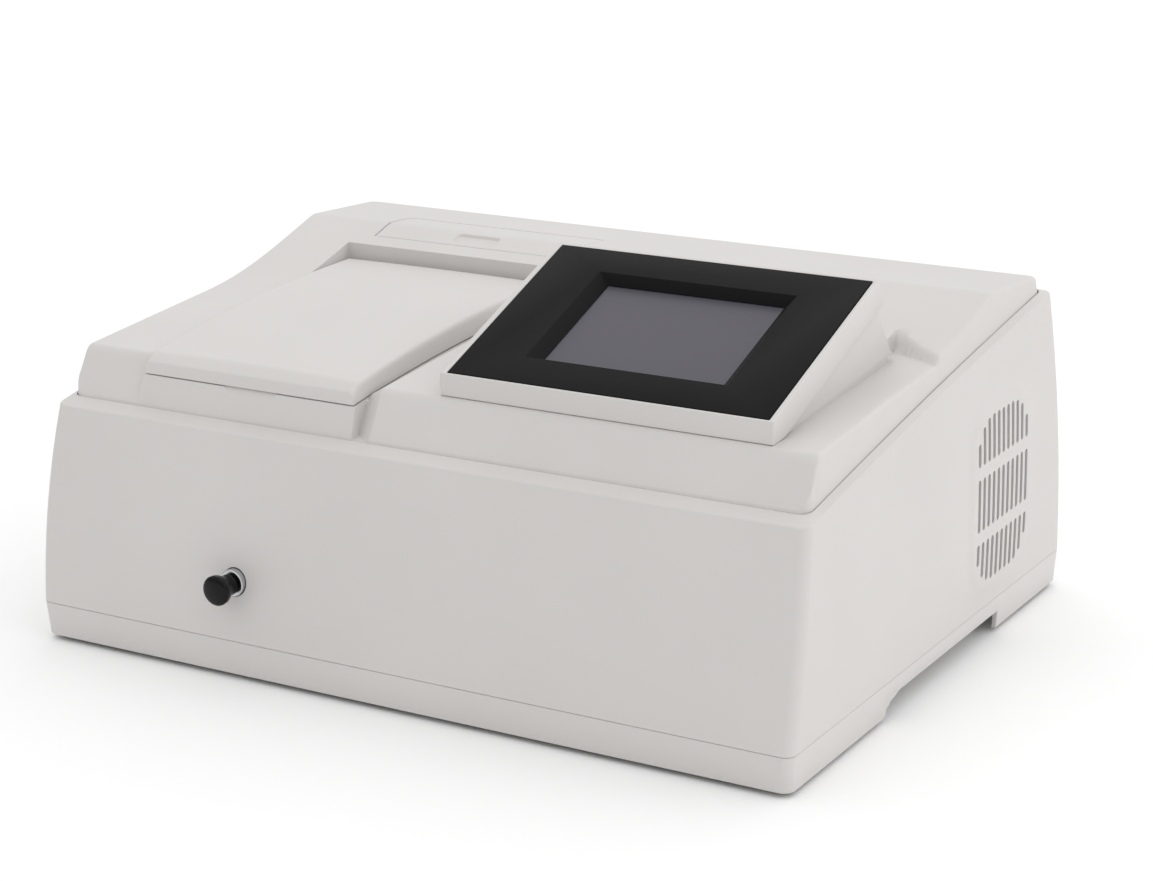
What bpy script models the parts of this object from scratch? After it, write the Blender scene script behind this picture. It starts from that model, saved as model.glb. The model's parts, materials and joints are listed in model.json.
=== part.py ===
"""Bench-top single-beam spectrophotometer, in metres, +Z up, front towards -Y.

Everything is modelled in the casing's own frame: x = 0 and y = 0 in the middle of the casing,
z = 0 at the lower edge of the base tray.  The empty "instrument" then lifts that frame onto the
feet and centres the whole outline, knob included, over the world origin.
"""
import math

import bmesh
import bpy
from mathutils import Matrix, Vector

# ---------------------------------------------------------------- driving dimensions
GAP = 0.0003                     # clearance between pieces that touch
FOOT_REACH = 0.003               # feet stand this far below the tray
OUTLINE_SHIFT_Y = 0.00775        # centres casing plus knob over the origin

SEAM_HALF_X = 0.2650             # casing at the base seam
SEAM_HALF_Y = 0.2008
SEAM_Z = 0.0224
RIM_HALF_X = 0.2627              # casing at its upper rim
RIM_HALF_Y = 0.1772
BOTTOM_HALF_X = 0.2635           # tray at its lower edge
BOTTOM_HALF_Y = 0.1993
BULGE = 0.0022                   # the casing's walls bow outwards by this much
WALL = 0.003
CORNER = 0.007                   # radius of the upright corners
RIM_MID_Z = 0.1768               # rim height at y = 0, then slope and curvature along y
RIM_SLOPE = 0.155
RIM_CURVE = -0.078

SHELL_FOOT_HALF_X = 0.2574       # where the top cover rises out of the ledge
SHELL_FOOT_FRONT = -0.1666
SHELL_FOOT_BACK = 0.1715
SHELL_TOP_HALF_X = 0.2561        # the top cover's upper edge
SHELL_TOP_FRONT = -0.1508
SHELL_TOP_BACK = 0.1690
LEDGE_RISE = 0.0020

DECK_FRONT_Z = 0.1807            # deck: a gentle ramp, an S rise, then a slight fall
DECK_SLOPE = 0.068
S_START = -0.030
S_KNEE = 0.096
S_POWER = 2.25
KNEE_Z = 0.2172
REAR_SLOPE = -0.066

LID_X = (-0.2020, -0.0450)       # sample lid
LID_Y = (-0.1610, 0.0605)
LID_FRONT_Z = 0.1833
LID_WALL = 0.0025
LID_SIDE_GAP = 0.0012
POCKET_BACK = 0.0640             # wall behind the lid
LIP_Z = 0.1717                   # lower edge of the lid's front lip
OPENING_X = (-0.1920, -0.0580)   # sample opening below the lid
OPENING_Y = (-0.1480, 0.0360)
HINGE_Y = 0.0560
HINGE_Z = 0.1915
PIN_R = 0.0012

DISPLAY_TILT = math.radians(20.1)
BEZEL_FRONT = (-0.1468, 0.1954)  # y and z of the black bezel's front edge
BEZEL_X = (0.0130, 0.2231)
BEZEL_LENGTH = 0.1424
SLAB_X = (0.0085, 0.2268)
SLAB_THICK = 0.0170
SLAB_MARGIN = 0.0022
WINDOW_X = (0.0520, 0.1860)      # window in the bezel, and how far it lies up the slope
WINDOW_U = (0.0250, 0.1190)
LCD_X = (0.0610, 0.1770)
LCD_U = (0.0270, 0.1130)

KNOB_X = -0.1138                 # cell changer's rod
KNOB_Z = 0.0590
BEAM_Y = -0.0600                 # light path through the sample
BEAM_Z = 0.0850
CELL_PITCH = 0.0160
CELL_SIZE = 0.0128
CELL_COUNT = 4

BENCH_TOP = 0.0320
VENT_Y = 0.0910                  # vent's middle
VENT_Z = 0.0936
VENT_HALF_Y = 0.0400
VENT_HALF_Z = 0.0535
VENT_CORNER = 0.0250
SLOT_WIDTH = 0.0040
SLOT_PITCH = 0.0075
SLOT_COLUMNS = 11
SLOT_ROWS = ((0.0401, 0.0684), (0.0760, 0.1102), (0.1180, 0.1471))

GUTTER_EDGE_X = -0.0310          # valley between lid and display
GUTTER_FRONT_FALL = 0.0300       # it runs out down the front at 45 degrees

DISH_X = 0.2280                  # tilted floor right of the display: a point on it and its slopes
DISH_Y = -0.1430
DISH_Z = 0.1812
DISH_SLOPE_X = 0.0925
DISH_SLOPE_Y = 0.0557
DISH_BACK = 0.0200

HATCH_X = (-0.1900, -0.0350)     # flush hatch behind the lid
HATCH_Y = (0.0765, 0.1200)
HATCH_THICK = 0.0018

SLAB_FRONT = -0.1483             # display slab and the wedge below it
BEZEL_DEPTH = 0.0062
PEDESTAL_X = (0.0110, 0.2236)

TUB_X = (-0.1980, -0.0510)       # sample chamber
TUB_Y = (-0.1540, 0.0440)
TUB_WALL = 0.0020

TRAY_FLOOR = (0.0120, 0.0145)    # underside and top of the tray's floor
MONO_X = (-0.0440, 0.1460)       # monochromator
MONO_Y = (-0.1200, 0.0600)
MONO_TOP = 0.1400
ENTRANCE_Y = 0.0300              # light from the lamps comes in here
SOURCE_AT = (0.1950, 0.0300)
LAMP_X = (0.1660, 0.2265)        # lamp house
LAMP_Y = (-0.0700, 0.1400)
LAMP_TOP = 0.1500
HALOGEN_Y = 0.1100
DEUTERIUM_Y = -0.0400
WHEEL_X = 0.1475                 # filter wheel
WHEEL_Y = 0.0550
FILTER_COUNT = 6
FILTER_RING = 0.0250

CONNECTOR_X = (0.0600, 0.2000)   # opening in the back wall, with the plate behind it
CONNECTOR_Z = (0.0340, 0.0900)
PLATE_Y = 0.1820
PLATE_THICK = 0.0015
INLET_AT = (0.0900, 0.0620)
SWITCH_AT = (0.1350, 0.0620)
PORT_AT = (0.1750, 0.0620)

FOOT_X = 0.2350
FOOT_FRONT_Y = -0.1650
FOOT_REAR_Y = 0.1450

GRATING_AT = (0.110, 0.005)
GEAR_MODULE = 0.0008
GEAR_TEETH = 72
PINION_TEETH = 12
GEAR_SECTOR = 20                 # teeth that are really cut on the sector

# ---------------------------------------------------------------- set-up
for old in list(bpy.data.objects):
    bpy.data.objects.remove(old, do_unlink=True)

instrument = bpy.data.objects.new("instrument", None)
bpy.context.scene.collection.objects.link(instrument)
instrument.location = (0.0, OUTLINE_SHIFT_Y, FOOT_REACH)


def material(name, colour, roughness, metallic=0.0, alpha=1.0):
    """A Principled material for one sub-part."""
    mat = bpy.data.materials.new(name)
    mat.use_nodes = True
    shader = mat.node_tree.nodes["Principled BSDF"]
    shader.inputs["Base Color"].default_value = (*colour, 1.0)
    shader.inputs["Roughness"].default_value = roughness
    shader.inputs["Metallic"].default_value = metallic
    shader.inputs["Alpha"].default_value = alpha
    return mat


WHITE = ((0.72, 0.71, 0.70), 0.45, 0.0)
BLACK = ((0.020, 0.020, 0.021), 0.30, 0.0)
DARK = ((0.045, 0.045, 0.048), 0.70, 0.0)
STEEL = ((0.55, 0.55, 0.56), 0.30, 1.0)
ALUMINIUM = ((0.60, 0.60, 0.62), 0.40, 1.0)
MIRROR = ((0.85, 0.85, 0.88), 0.05, 1.0)
BOARD = ((0.03, 0.16, 0.07), 0.50, 0.0)
RUBBER = ((0.02, 0.02, 0.02), 0.85, 0.0)
BRASS = ((0.60, 0.42, 0.16), 0.35, 1.0)
GLASS = ((0.75, 0.80, 0.82), 0.05, 0.0)


def finish(name, mesh, look, pivot=None):
    """Make the named object; with a pivot its origin sits on that point of the casing's frame."""
    obj = bpy.data.objects.new(name, mesh)
    bpy.context.scene.collection.objects.link(obj)
    obj.parent = instrument
    if pivot is not None:
        mesh.transform(Matrix.Translation(-Vector(pivot)))
        obj.location = pivot
    mesh.shade_smooth()
    mesh.set_sharp_from_angle(angle=math.radians(32))
    mesh.materials.clear()
    mesh.materials.append(material(name, *look))
    return obj


def to_mesh(bm):
    bmesh.ops.recalc_face_normals(bm, faces=bm.faces)
    mesh = bpy.data.meshes.new("solid")
    bm.to_mesh(mesh)
    bm.free()
    return mesh


def boolean(mesh, tools, operation="DIFFERENCE"):
    """Cut or join the tool meshes into a mesh, and give the result."""
    for tool in tools:
        base = bpy.data.objects.new("base", mesh)
        cutter = bpy.data.objects.new("cutter", tool)
        for obj in (base, cutter):
            bpy.context.scene.collection.objects.link(obj)
        modifier = base.modifiers.new("cut", "BOOLEAN")
        modifier.operation = operation
        modifier.object = cutter
        depsgraph = bpy.context.evaluated_depsgraph_get()
        mesh = bpy.data.meshes.new_from_object(base.evaluated_get(depsgraph))
        for obj in (base, cutter):
            bpy.data.objects.remove(obj, do_unlink=True)
    return mesh


# ---------------------------------------------------------------- simple solids
def box(x, y, z):
    """A block between two x, two y and two z values."""
    bm = bmesh.new()
    bmesh.ops.create_cube(bm, size=1.0)
    size = (x[1] - x[0], y[1] - y[0], z[1] - z[0])
    middle = ((x[0] + x[1]) / 2, (y[0] + y[1]) / 2, (z[0] + z[1]) / 2)
    bm.transform(Matrix.Translation(middle) @ Matrix.Diagonal((*size, 1.0)))
    return to_mesh(bm)


def rounded_box(x, y, z, radius, segments=2):
    """A block with its upright edges rounded."""
    bm = bmesh.new()
    bm.from_mesh(box(x, y, z))
    upright = [e for e in bm.edges if abs(e.verts[0].co.z - e.verts[1].co.z) > 1e-6]
    bmesh.ops.bevel(bm, geom=upright, offset=radius, segments=segments, affect="EDGES", profile=0.5)
    return to_mesh(bm)


def turn_to(axis):
    """Rotation that lays a shape made along +Z on the named axis."""
    if axis == "X":
        return Matrix.Rotation(math.radians(90), 4, "Y")
    if axis == "Y":
        return Matrix.Rotation(math.radians(-90), 4, "X")
    return Matrix.Identity(4)


def turned(profile, at, axis="Z", sides=24):
    """Lathe a closed profile of (radius, height) points; a point at radius 0 closes on the axis."""
    bm = bmesh.new()
    rings = []
    for radius, height in profile:
        if radius < 1e-7:
            rings.append([bm.verts.new((0.0, 0.0, height))])
            continue
        ring = []
        for k in range(sides):
            angle = 2 * math.pi * k / sides
            ring.append(bm.verts.new((radius * math.cos(angle), radius * math.sin(angle), height)))
        rings.append(ring)
    pairs = list(zip(rings, rings[1:]))
    if len(rings[0]) > 1 and len(rings[-1]) > 1:
        pairs.append((rings[-1], rings[0]))
    for low, high in pairs:
        for k in range(sides):
            n = (k + 1) % sides
            corners = [low[k % len(low)], low[n % len(low)], high[n % len(high)], high[k % len(high)]]
            face = list(dict.fromkeys(corners))
            if len(face) > 2:
                bm.faces.new(face)
    bm.transform(Matrix.Translation(at) @ turn_to(axis))
    return to_mesh(bm)


def rod(radius, length, at, axis="Z", sides=20):
    return turned([(0, 0), (radius, 0), (radius, length), (0, length)], at, axis, sides)


def tube(outer, inner, length, at, axis="Z", sides=20):
    return turned([(inner, 0), (outer, 0), (outer, length), (inner, length)], at, axis, sides)


def plate(outline, thickness, at=(0, 0, 0), axis="Z"):
    """Extrude a flat outline of (x, y) points by a thickness."""
    bm = bmesh.new()
    face = bm.faces.new([bm.verts.new((x, y, 0.0)) for x, y in outline])
    grown = bmesh.ops.extrude_face_region(bm, geom=[face])
    raised = [v for v in grown["geom"] if isinstance(v, bmesh.types.BMVert)]
    bmesh.ops.translate(bm, verts=raised, vec=(0, 0, thickness))
    bm.transform(Matrix.Translation(at) @ turn_to(axis))
    return to_mesh(bm)


def across(profile, x):
    """Extrude a closed (y, z) profile from one x to another."""
    bm = bmesh.new()
    near = [bm.verts.new((x[0], y, z)) for y, z in profile]
    far = [bm.verts.new((x[1], y, z)) for y, z in profile]
    bm.faces.new(near)
    bm.faces.new(list(reversed(far)))
    for k in range(len(profile)):
        n = (k + 1) % len(profile)
        bm.faces.new((near[k], far[k], far[n], near[n]))
    return to_mesh(bm)


# ---------------------------------------------------------------- the casing's surfaces
def lerp(a, b, t):
    return a + (b - a) * t


def rim_z(y):
    """Height of the lower casing's rim, which climbs from front to back."""
    return RIM_MID_Z + RIM_SLOPE * y + RIM_CURVE * y * y


def deck_z(y):
    """Height of the top cover's deck."""
    ramp = DECK_FRONT_Z + DECK_SLOPE * (y - SHELL_TOP_FRONT)
    rear = KNEE_Z + REAR_SLOPE * (y - S_KNEE)
    t = min(max((y - S_START) / (S_KNEE - S_START), 0.0), 1.0)
    return lerp(ramp, rear, t ** S_POWER)


def lid_z(y):
    """Height of the sample lid's crowned top."""
    u = (y - LID_Y[0] - 0.006) / (LID_Y[1] - LID_Y[0] - 0.006)
    return LID_FRONT_Z + 0.0316 * u - 0.0166 * u * u


def lid_foot_z(y):
    """Height of the lid's lower edge, and of the shelf it closes on."""
    return LIP_Z + 0.85 * (lid_z(y) - LID_FRONT_Z)


def steps(a, b, count):
    return [lerp(a, b, k / count) for k in range(count + 1)]


def ring(half_x, front, back, height, corner=CORNER, arc=3, fractions=None):
    """A rounded rectangle, from the front right corner round anticlockwise, z = height(y)."""
    fractions = fractions or [0.5]
    right = []
    for k in range(arc + 1):
        angle = math.radians(-90 + 90 * k / arc)
        right.append((half_x - corner + corner * math.cos(angle), front + corner + corner * math.sin(angle)))
    for t in fractions:
        right.append((half_x, lerp(front + corner, back - corner, t)))
    for k in range(arc + 1):
        angle = math.radians(90 * k / arc)
        right.append((half_x - corner + corner * math.cos(angle), back - corner + corner * math.sin(angle)))
    points = [(x, y, height(y)) for x, y in right]
    points += [(-x, y, height(y)) for x, y in reversed(right)]
    return points


def add_rings(bm, rings, close=False):
    made = [[bm.verts.new(p) for p in points] for points in rings]
    pairs = list(zip(made, made[1:]))
    if close:
        pairs.append((made[-1], made[0]))
    for low, high in pairs:
        count = len(low)
        for k in range(count):
            n = (k + 1) % count
            bm.faces.new((low[k], low[n], high[n], high[k]))
    return made


def ladder(bm, points):
    """Close a ring with rungs that run across it from right to left."""
    half = len(points) // 2
    for k in range(half - 1):
        bm.faces.new((points[k], points[k + 1], points[-2 - k], points[-1 - k]))


def solid_of_rings(rings):
    bm = bmesh.new()
    made = add_rings(bm, rings)
    ladder(bm, made[0])
    ladder(bm, made[-1])
    bmesh.ops.triangulate(bm, faces=bm.faces)
    return to_mesh(bm)


def hollow_of_rings(rings):
    """A ring-shaped wall: the last ring joins the first."""
    bm = bmesh.new()
    add_rings(bm, rings, close=True)
    bmesh.ops.triangulate(bm, faces=bm.faces)
    return to_mesh(bm)


SIDE_FRACTIONS = steps(0.12, 0.88, 6)
DECK_FRACTIONS = [(y - SHELL_TOP_FRONT) / (SHELL_TOP_BACK - SHELL_TOP_FRONT)
                  for y in (-0.10, -0.03, 0.005, 0.030, 0.050, 0.066, 0.080, 0.089, S_KNEE, 0.104, 0.135)]


def casing_ring(s, inset):
    """Outline of the lower casing at s = 0 (base seam) to s = 1 (rim)."""
    bow = BULGE * 4 * s * (1 - s)
    half_x = lerp(SEAM_HALF_X, RIM_HALF_X, s) + bow - inset
    half_y = lerp(SEAM_HALF_Y, RIM_HALF_Y, s) + bow - inset
    stretch = RIM_HALF_Y / (half_y + inset)
    base = SEAM_Z + GAP / 2
    return ring(half_x, -half_y, half_y, lambda y: base + s * (rim_z(y * stretch) - inset * s - base),
                corner=CORNER - inset / 2, fractions=SIDE_FRACTIONS)


# ---------------------------------------------------------------- outer pieces
def base_tray():
    """Shallow tray: skirt, raised floor, a hand-hold cut in each side."""
    floor_low, floor_top = TRAY_FLOOR
    top = SEAM_Z - GAP / 2

    def level(z, inset):
        t = z / SEAM_Z
        half_x = lerp(BOTTOM_HALF_X, SEAM_HALF_X, t) - inset
        half_y = lerp(BOTTOM_HALF_Y, SEAM_HALF_Y, t) - inset
        return ring(half_x, -half_y, half_y, lambda y: z, fractions=[0.5])

    body = solid_of_rings([level(0.0, 0.0), level(top, 0.0)])
    above = solid_of_rings([level(floor_top, WALL), level(top + 0.01, WALL)])
    below = solid_of_rings([level(-0.01, WALL), level(floor_low, WALL)])
    hold = [(-0.0740, -0.01), (-0.0740, 0.0010), (-0.0690, 0.0065), (-0.0640, 0.0100), (-0.0540, 0.0112),
            (0.0946, 0.0112), (0.0946, -0.01)]
    slot = across(hold, (-0.30, 0.30))
    mesh = boolean(body, [above, below, slot])
    return finish("base_tray", mesh, WHITE)


def vent_slots():
    """Upright slots whose ends follow a rounded rectangle."""
    made = []
    for column in range(SLOT_COLUMNS):
        y = VENT_Y + (column - (SLOT_COLUMNS - 1) / 2) * SLOT_PITCH
        past = max(abs(y - VENT_Y) - (VENT_HALF_Y - VENT_CORNER), 0.0)
        drop = VENT_CORNER - math.sqrt(VENT_CORNER ** 2 - past ** 2)
        for row, (low, high) in enumerate(SLOT_ROWS):
            if row == 0:
                low += drop
            if row == 2:
                high -= drop
            made.append(box((0.25, 0.28), (y - SLOT_WIDTH / 2, y + SLOT_WIDTH / 2), (low, high)))
    return made


def main_casing():
    """Lower casing: four bowed walls, and a ledge round the top that carries the upper shell."""
    outer = [casing_ring(s, 0.0) for s in steps(0, 1, 5)]
    inner = [casing_ring(s, WALL) for s in steps(1, 0, 5)]

    def ledge(drop):
        return ring(SHELL_FOOT_HALF_X, SHELL_FOOT_FRONT, SHELL_FOOT_BACK,
                    lambda y: rim_z(y) + LEDGE_RISE - drop, fractions=SIDE_FRACTIONS)

    mesh = hollow_of_rings(outer + [ledge(0.0), ledge(WALL)] + inner)
    rod_hole = rod(0.0090, 0.05, (KNOB_X, -0.22, KNOB_Z), "Y")
    connectors = box(CONNECTOR_X, (0.15, 0.25), CONNECTOR_Z)
    mesh = boolean(mesh, [rod_hole, connectors] + vent_slots())
    return finish("main_casing", mesh, WHITE)


def cover_body(inset):
    """The top cover's outer form, shrunk by inset: shell, sample box, lid pocket, gutter and dish."""
    low = 0.008 + (0.02 if inset else 0.0)
    outline = dict(corner=CORNER - inset / 2, fractions=DECK_FRACTIONS)

    def shell_ring(half_x, front, back, height):
        return ring(half_x - inset, front + inset, back - inset, height, **outline)

    foot_half_x = SHELL_FOOT_HALF_X - GAP
    foot_front = SHELL_FOOT_FRONT + GAP
    foot_back = SHELL_FOOT_BACK - GAP
    shell = solid_of_rings([
        shell_ring(foot_half_x, foot_front, foot_back, lambda y: rim_z(y) + LEDGE_RISE - low),
        shell_ring(foot_half_x, foot_front, foot_back, lambda y: rim_z(y) + LEDGE_RISE),
        shell_ring(SHELL_TOP_HALF_X, SHELL_TOP_FRONT, SHELL_TOP_BACK, lambda y: deck_z(y) - inset)])

    side = LID_SIDE_GAP
    front_low = SHELL_FOOT_FRONT + 0.0006 + inset
    front_top = LID_Y[0] + inset
    box_x = (LID_X[0] - 0.0010 + inset, LID_X[1] + 0.0010 - inset)
    sample_box = across([(front_low, 0.1440 - low), (-0.1200, 0.1440 - low), (-0.1200, 0.1690),
                         (front_top, 0.1690), (front_low, 0.1530)], box_x)
    body = boolean(shell, [sample_box], "UNION")

    shelf = [(y, lid_foot_z(y) - GAP - inset) for y in steps(LID_Y[0], POCKET_BACK + inset, 7)]
    pocket_profile = [(-0.25, shelf[0][1])] + shelf + [(POCKET_BACK + inset, 0.30), (-0.25, 0.30)]
    pocket = across(pocket_profile, (LID_X[0] - side - inset, LID_X[1] + side + inset))

    gutter = gutter_cutter(inset)
    dish = dish_cutter(inset)
    return boolean(body, [pocket, gutter, dish])


def gutter_cutter(inset):
    """A shallow valley between the lid and the display; it runs out down the front slope."""
    foot_x = LID_X[1] + LID_SIDE_GAP
    stations = []
    for y, depth in ((-0.1580, 0.0075), (-0.120, 0.0070), (-0.060, 0.0065), (0.000, 0.0070), (0.045, 0.0090)):
        stations.append((y, deck_z(y) - depth - inset, deck_z(y) + 0.0005 - inset))
    bm = bmesh.new()
    open_top = 0.25
    near_x = foot_x - 0.004
    far_x = GUTTER_EDGE_X + inset
    rings = []
    for y, low, high in stations:
        section = [(near_x, low - 0.0005), (foot_x + inset, low), (far_x, high),
                   (far_x, open_top), (near_x, open_top)]
        rings.append([bm.verts.new((x, y, z)) for x, z in section])
    front = []
    for v in rings[0]:
        drop = 0.0 if v.co.z == rings[0][-1].co.z else GUTTER_FRONT_FALL
        front.append(bm.verts.new((v.co.x, v.co.y - GUTTER_FRONT_FALL, v.co.z - drop)))
    rings.insert(0, front)
    for near, far in zip(rings, rings[1:]):
        for k in range(5):
            n = (k + 1) % 5
            bm.faces.new((near[k], near[n], far[n], far[k]))
    bm.faces.new(rings[0])
    bm.faces.new(rings[-1])
    return to_mesh(bm)


def dish_z(x, y):
    """Height of the tilted floor between the display and the right-hand edge."""
    return DISH_Z + DISH_SLOPE_X * (x - DISH_X) + DISH_SLOPE_Y * (y - DISH_Y)


def dish_cutter(inset):
    """Sinks the deck to the dish's floor; its back leans away as the deck rises."""
    x_near, x_far = 0.2150, 0.2700
    y_front, y_back = -0.1900, DISH_BACK
    corners = [(x_near, y_front), (x_far, y_front), (x_far, y_back), (x_near, y_back)]
    bm = bmesh.new()
    low = [bm.verts.new((x, y, dish_z(x, y) - inset)) for x, y in corners]
    high = [bm.verts.new((x, y + (0.060 if y > 0 else 0.0), 0.30)) for x, y in corners]
    bm.faces.new(reversed(low))
    bm.faces.new(high)
    for k in range(4):
        n = (k + 1) % 4
        bm.faces.new((low[k], low[n], high[n], high[k]))
    return to_mesh(bm)


def hatch_profile(y0, y1, low, high):
    """A band that follows the deck between two heights measured from it."""
    rows = [y0, 0.084, 0.090, S_KNEE, 0.102, y1]
    rows = [y for y in rows if y0 <= y <= y1]
    return [(y, deck_z(y) + low) for y in rows] + [(y, deck_z(y) + high) for y in reversed(rows)]


def top_cover():
    """Upper shell with the deck, the pocket for the lid and the openings."""
    mesh = boolean(cover_body(0.0), [cover_body(WALL)])
    opening = box(OPENING_X, OPENING_Y, (0.12, 0.24))
    seat = across(hatch_profile(HATCH_Y[0] - 0.0005, HATCH_Y[1] + 0.0005, -HATCH_THICK - GAP, 0.01),
                  (HATCH_X[0] - 0.0005, HATCH_X[1] + 0.0005))
    through = box((HATCH_X[0] + 0.004, HATCH_X[1] - 0.004), (HATCH_Y[0] + 0.004, HATCH_Y[1] - 0.004),
                  (0.19, 0.25))
    cable = rod(0.012, 0.05, (0.110, -0.060, 0.165))
    pins = rod(PIN_R + GAP, 0.20, (-0.225, HINGE_Y, HINGE_Z), "X")
    mesh = boolean(mesh, [opening, seat, through, cable, pins])
    return finish("top_cover", mesh, WHITE)


def sample_lid():
    """Crowned cap over the sample compartment, hollow below; its side walls turn on two pins."""
    rows = steps(LID_Y[0] + 0.006, LID_Y[1] - 0.003, 7)
    back_foot = HINGE_Z - 0.0054

    def top(inset):
        front = LID_Y[0] + inset
        back = LID_Y[1] - min(inset, 0.0014)
        points = [(front, lid_z(rows[0]) - 0.0045 - inset)]
        points += [(y, lid_z(y) - inset) for y in rows]
        points += [(back, lid_z(rows[-1]) - 0.003 - inset)]
        return points

    foot = [(LID_Y[1], back_foot), (HINGE_Y - 0.004, back_foot)]
    foot += [(y, lid_foot_z(y)) for y in steps(HINGE_Y - 0.006, LID_Y[0], 5)]
    body = across(top(0.0) + foot, LID_X)
    hollow = across(top(LID_WALL) + [(LID_Y[1] - 0.0014, 0.15), (LID_Y[0] + LID_WALL, 0.15)],
                    (LID_X[0] + LID_WALL, LID_X[1] - LID_WALL))
    bore = rod(PIN_R + GAP, 0.18, (LID_X[0] - 0.01, HINGE_Y, HINGE_Z), "X")
    mesh = boolean(body, [hollow, bore])
    return finish("sample_lid", mesh, WHITE, (0.5 * (LID_X[0] + LID_X[1]), HINGE_Y, HINGE_Z))


def lid_pins():
    """Two short steel pins, half in the pocket's side walls and half in the lid's."""
    side = LID_X[0] - LID_SIDE_GAP - 0.0035
    finish("lid_pin_left", rod(PIN_R, 0.0085, (side, HINGE_Y, HINGE_Z), "X"), STEEL)
    side = LID_X[1] + LID_SIDE_GAP + 0.0035 - 0.0085
    finish("lid_pin_right", rod(PIN_R, 0.0085, (side, HINGE_Y, HINGE_Z), "X"), STEEL)


def rear_hatch():
    """Flush hatch over the left rear bay, bent over the knee of the deck, with a finger notch."""
    mesh = across(hatch_profile(*HATCH_Y, -HATCH_THICK, 0.0), HATCH_X)
    grip = box((-0.1300, -0.0970), (0.0815, 0.0905), (deck_z(0.086) - 0.0008, 0.24))
    mesh = boolean(mesh, [grip])
    return finish("rear_hatch", mesh, WHITE, (sum(HATCH_X) / 2, HATCH_Y[1], deck_z(HATCH_Y[1])))


# ---------------------------------------------------------------- display
def on_slope(mesh):
    """Lay a piece made at (x, distance up the slope, height above the bezel) on the display's slope."""
    mesh.transform(Matrix.Translation((0, *BEZEL_FRONT)) @ Matrix.Rotation(DISPLAY_TILT, 4, "X"))
    return mesh


def slope_point(u, h):
    c, s = math.cos(DISPLAY_TILT), math.sin(DISPLAY_TILT)
    return BEZEL_FRONT[0] + u * c - h * s, BEZEL_FRONT[1] + u * s + h * c


def frustum(x_low, u_low, x_high, u_high, h_low, h_high):
    """A window cutter that widens from one rectangle to another."""
    bm = bmesh.new()
    low = [bm.verts.new((x, u, h_low)) for x, u in rectangle(x_low, u_low)]
    high = [bm.verts.new((x, u, h_high)) for x, u in rectangle(x_high, u_high)]
    bm.faces.new(low)
    bm.faces.new(high)
    for k in range(4):
        n = (k + 1) % 4
        bm.faces.new((low[k], low[n], high[n], high[k]))
    return to_mesh(bm)


def rectangle(x, y):
    return [(x[0], y[0]), (x[1], y[0]), (x[1], y[1]), (x[0], y[1])]


def grow(span, by):
    return span[0] - by, span[1] + by


def display_frame():
    """White slab that carries the bezel; its front face is upright and stands on the deck."""
    back_top = slope_point(BEZEL_LENGTH + SLAB_MARGIN, 0.0)
    back_low = slope_point(BEZEL_LENGTH + SLAB_MARGIN, -SLAB_THICK)
    rise = math.tan(DISPLAY_TILT)
    front_top = BEZEL_FRONT[1] + (SLAB_FRONT - BEZEL_FRONT[0]) * rise
    meet_y = -0.1340
    profile = [(SLAB_FRONT, front_top), (SLAB_FRONT, deck_z(SLAB_FRONT) + GAP),
               (meet_y, deck_z(meet_y) + GAP), back_low, back_top]
    body = across(profile, SLAB_X)
    seat = on_slope(box(grow(BEZEL_X, GAP), (-GAP, BEZEL_LENGTH + GAP), (-BEZEL_DEPTH - GAP, 0.02)))
    well = on_slope(box(grow(LCD_X, 0.010), grow(LCD_U, 0.008), (-0.05, 0.02)))
    return finish("display_frame", boolean(body, [seat, well]), WHITE)


def display_pedestal():
    """Wedge below the slab, a hollow ring of walls that stands on the deck."""
    rise = math.tan(DISPLAY_TILT)
    low_front = slope_point(0.0, -SLAB_THICK - GAP)
    back_top = slope_point(BEZEL_LENGTH - 0.001, -SLAB_THICK - GAP)
    back_foot = 0.0105

    def under_slab(y):
        return low_front[1] + (y - low_front[0]) * rise

    def wedge(x, foot, front):
        rows = [front, S_START, 0.005, back_foot]
        top_front = max(under_slab(front), foot(front) + 0.0004)
        profile = [(y, foot(y)) for y in rows] + [back_top, (front, top_front)]
        return across(profile, x)

    def on_dish(y):
        return dish_z(PEDESTAL_X[1], y) + GAP

    body = wedge(PEDESTAL_X, lambda y: deck_z(y) + 2 * GAP, -0.1310)
    skirt = wedge((0.2155, PEDESTAL_X[1]), on_dish, -0.1300)
    hollow = [box((PEDESTAL_X[0] + 0.0025, 0.2128), (-0.125, -0.0125), (0.17, 0.26))]
    return finish("display_pedestal", boolean(boolean(body, [skirt], "UNION"), hollow), WHITE)


def display_insides():
    bezel = box(BEZEL_X, (0.0, BEZEL_LENGTH), (-BEZEL_DEPTH, GAP))
    window = frustum(LCD_X, LCD_U, WINDOW_X, WINDOW_U, -BEZEL_DEPTH - 0.00001, GAP + 0.00001)
    finish("display_bezel", on_slope(boolean(bezel, [window])), BLACK)
    glass = box(grow(LCD_X, 0.006), grow(LCD_U, 0.005), (-BEZEL_DEPTH - 0.0017, -BEZEL_DEPTH - GAP))
    finish("touch_glass", on_slope(glass), GLASS)
    panel = box(grow(LCD_X, 0.008), grow(LCD_U, 0.006), (-0.0150, -BEZEL_DEPTH - 0.0020))
    finish("lcd_panel", on_slope(panel), DARK)
    board = box(grow(LCD_X, 0.004), grow(LCD_U, -0.010), (-0.0185, -0.0169))
    finish("display_board", on_slope(board), BOARD)


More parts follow.
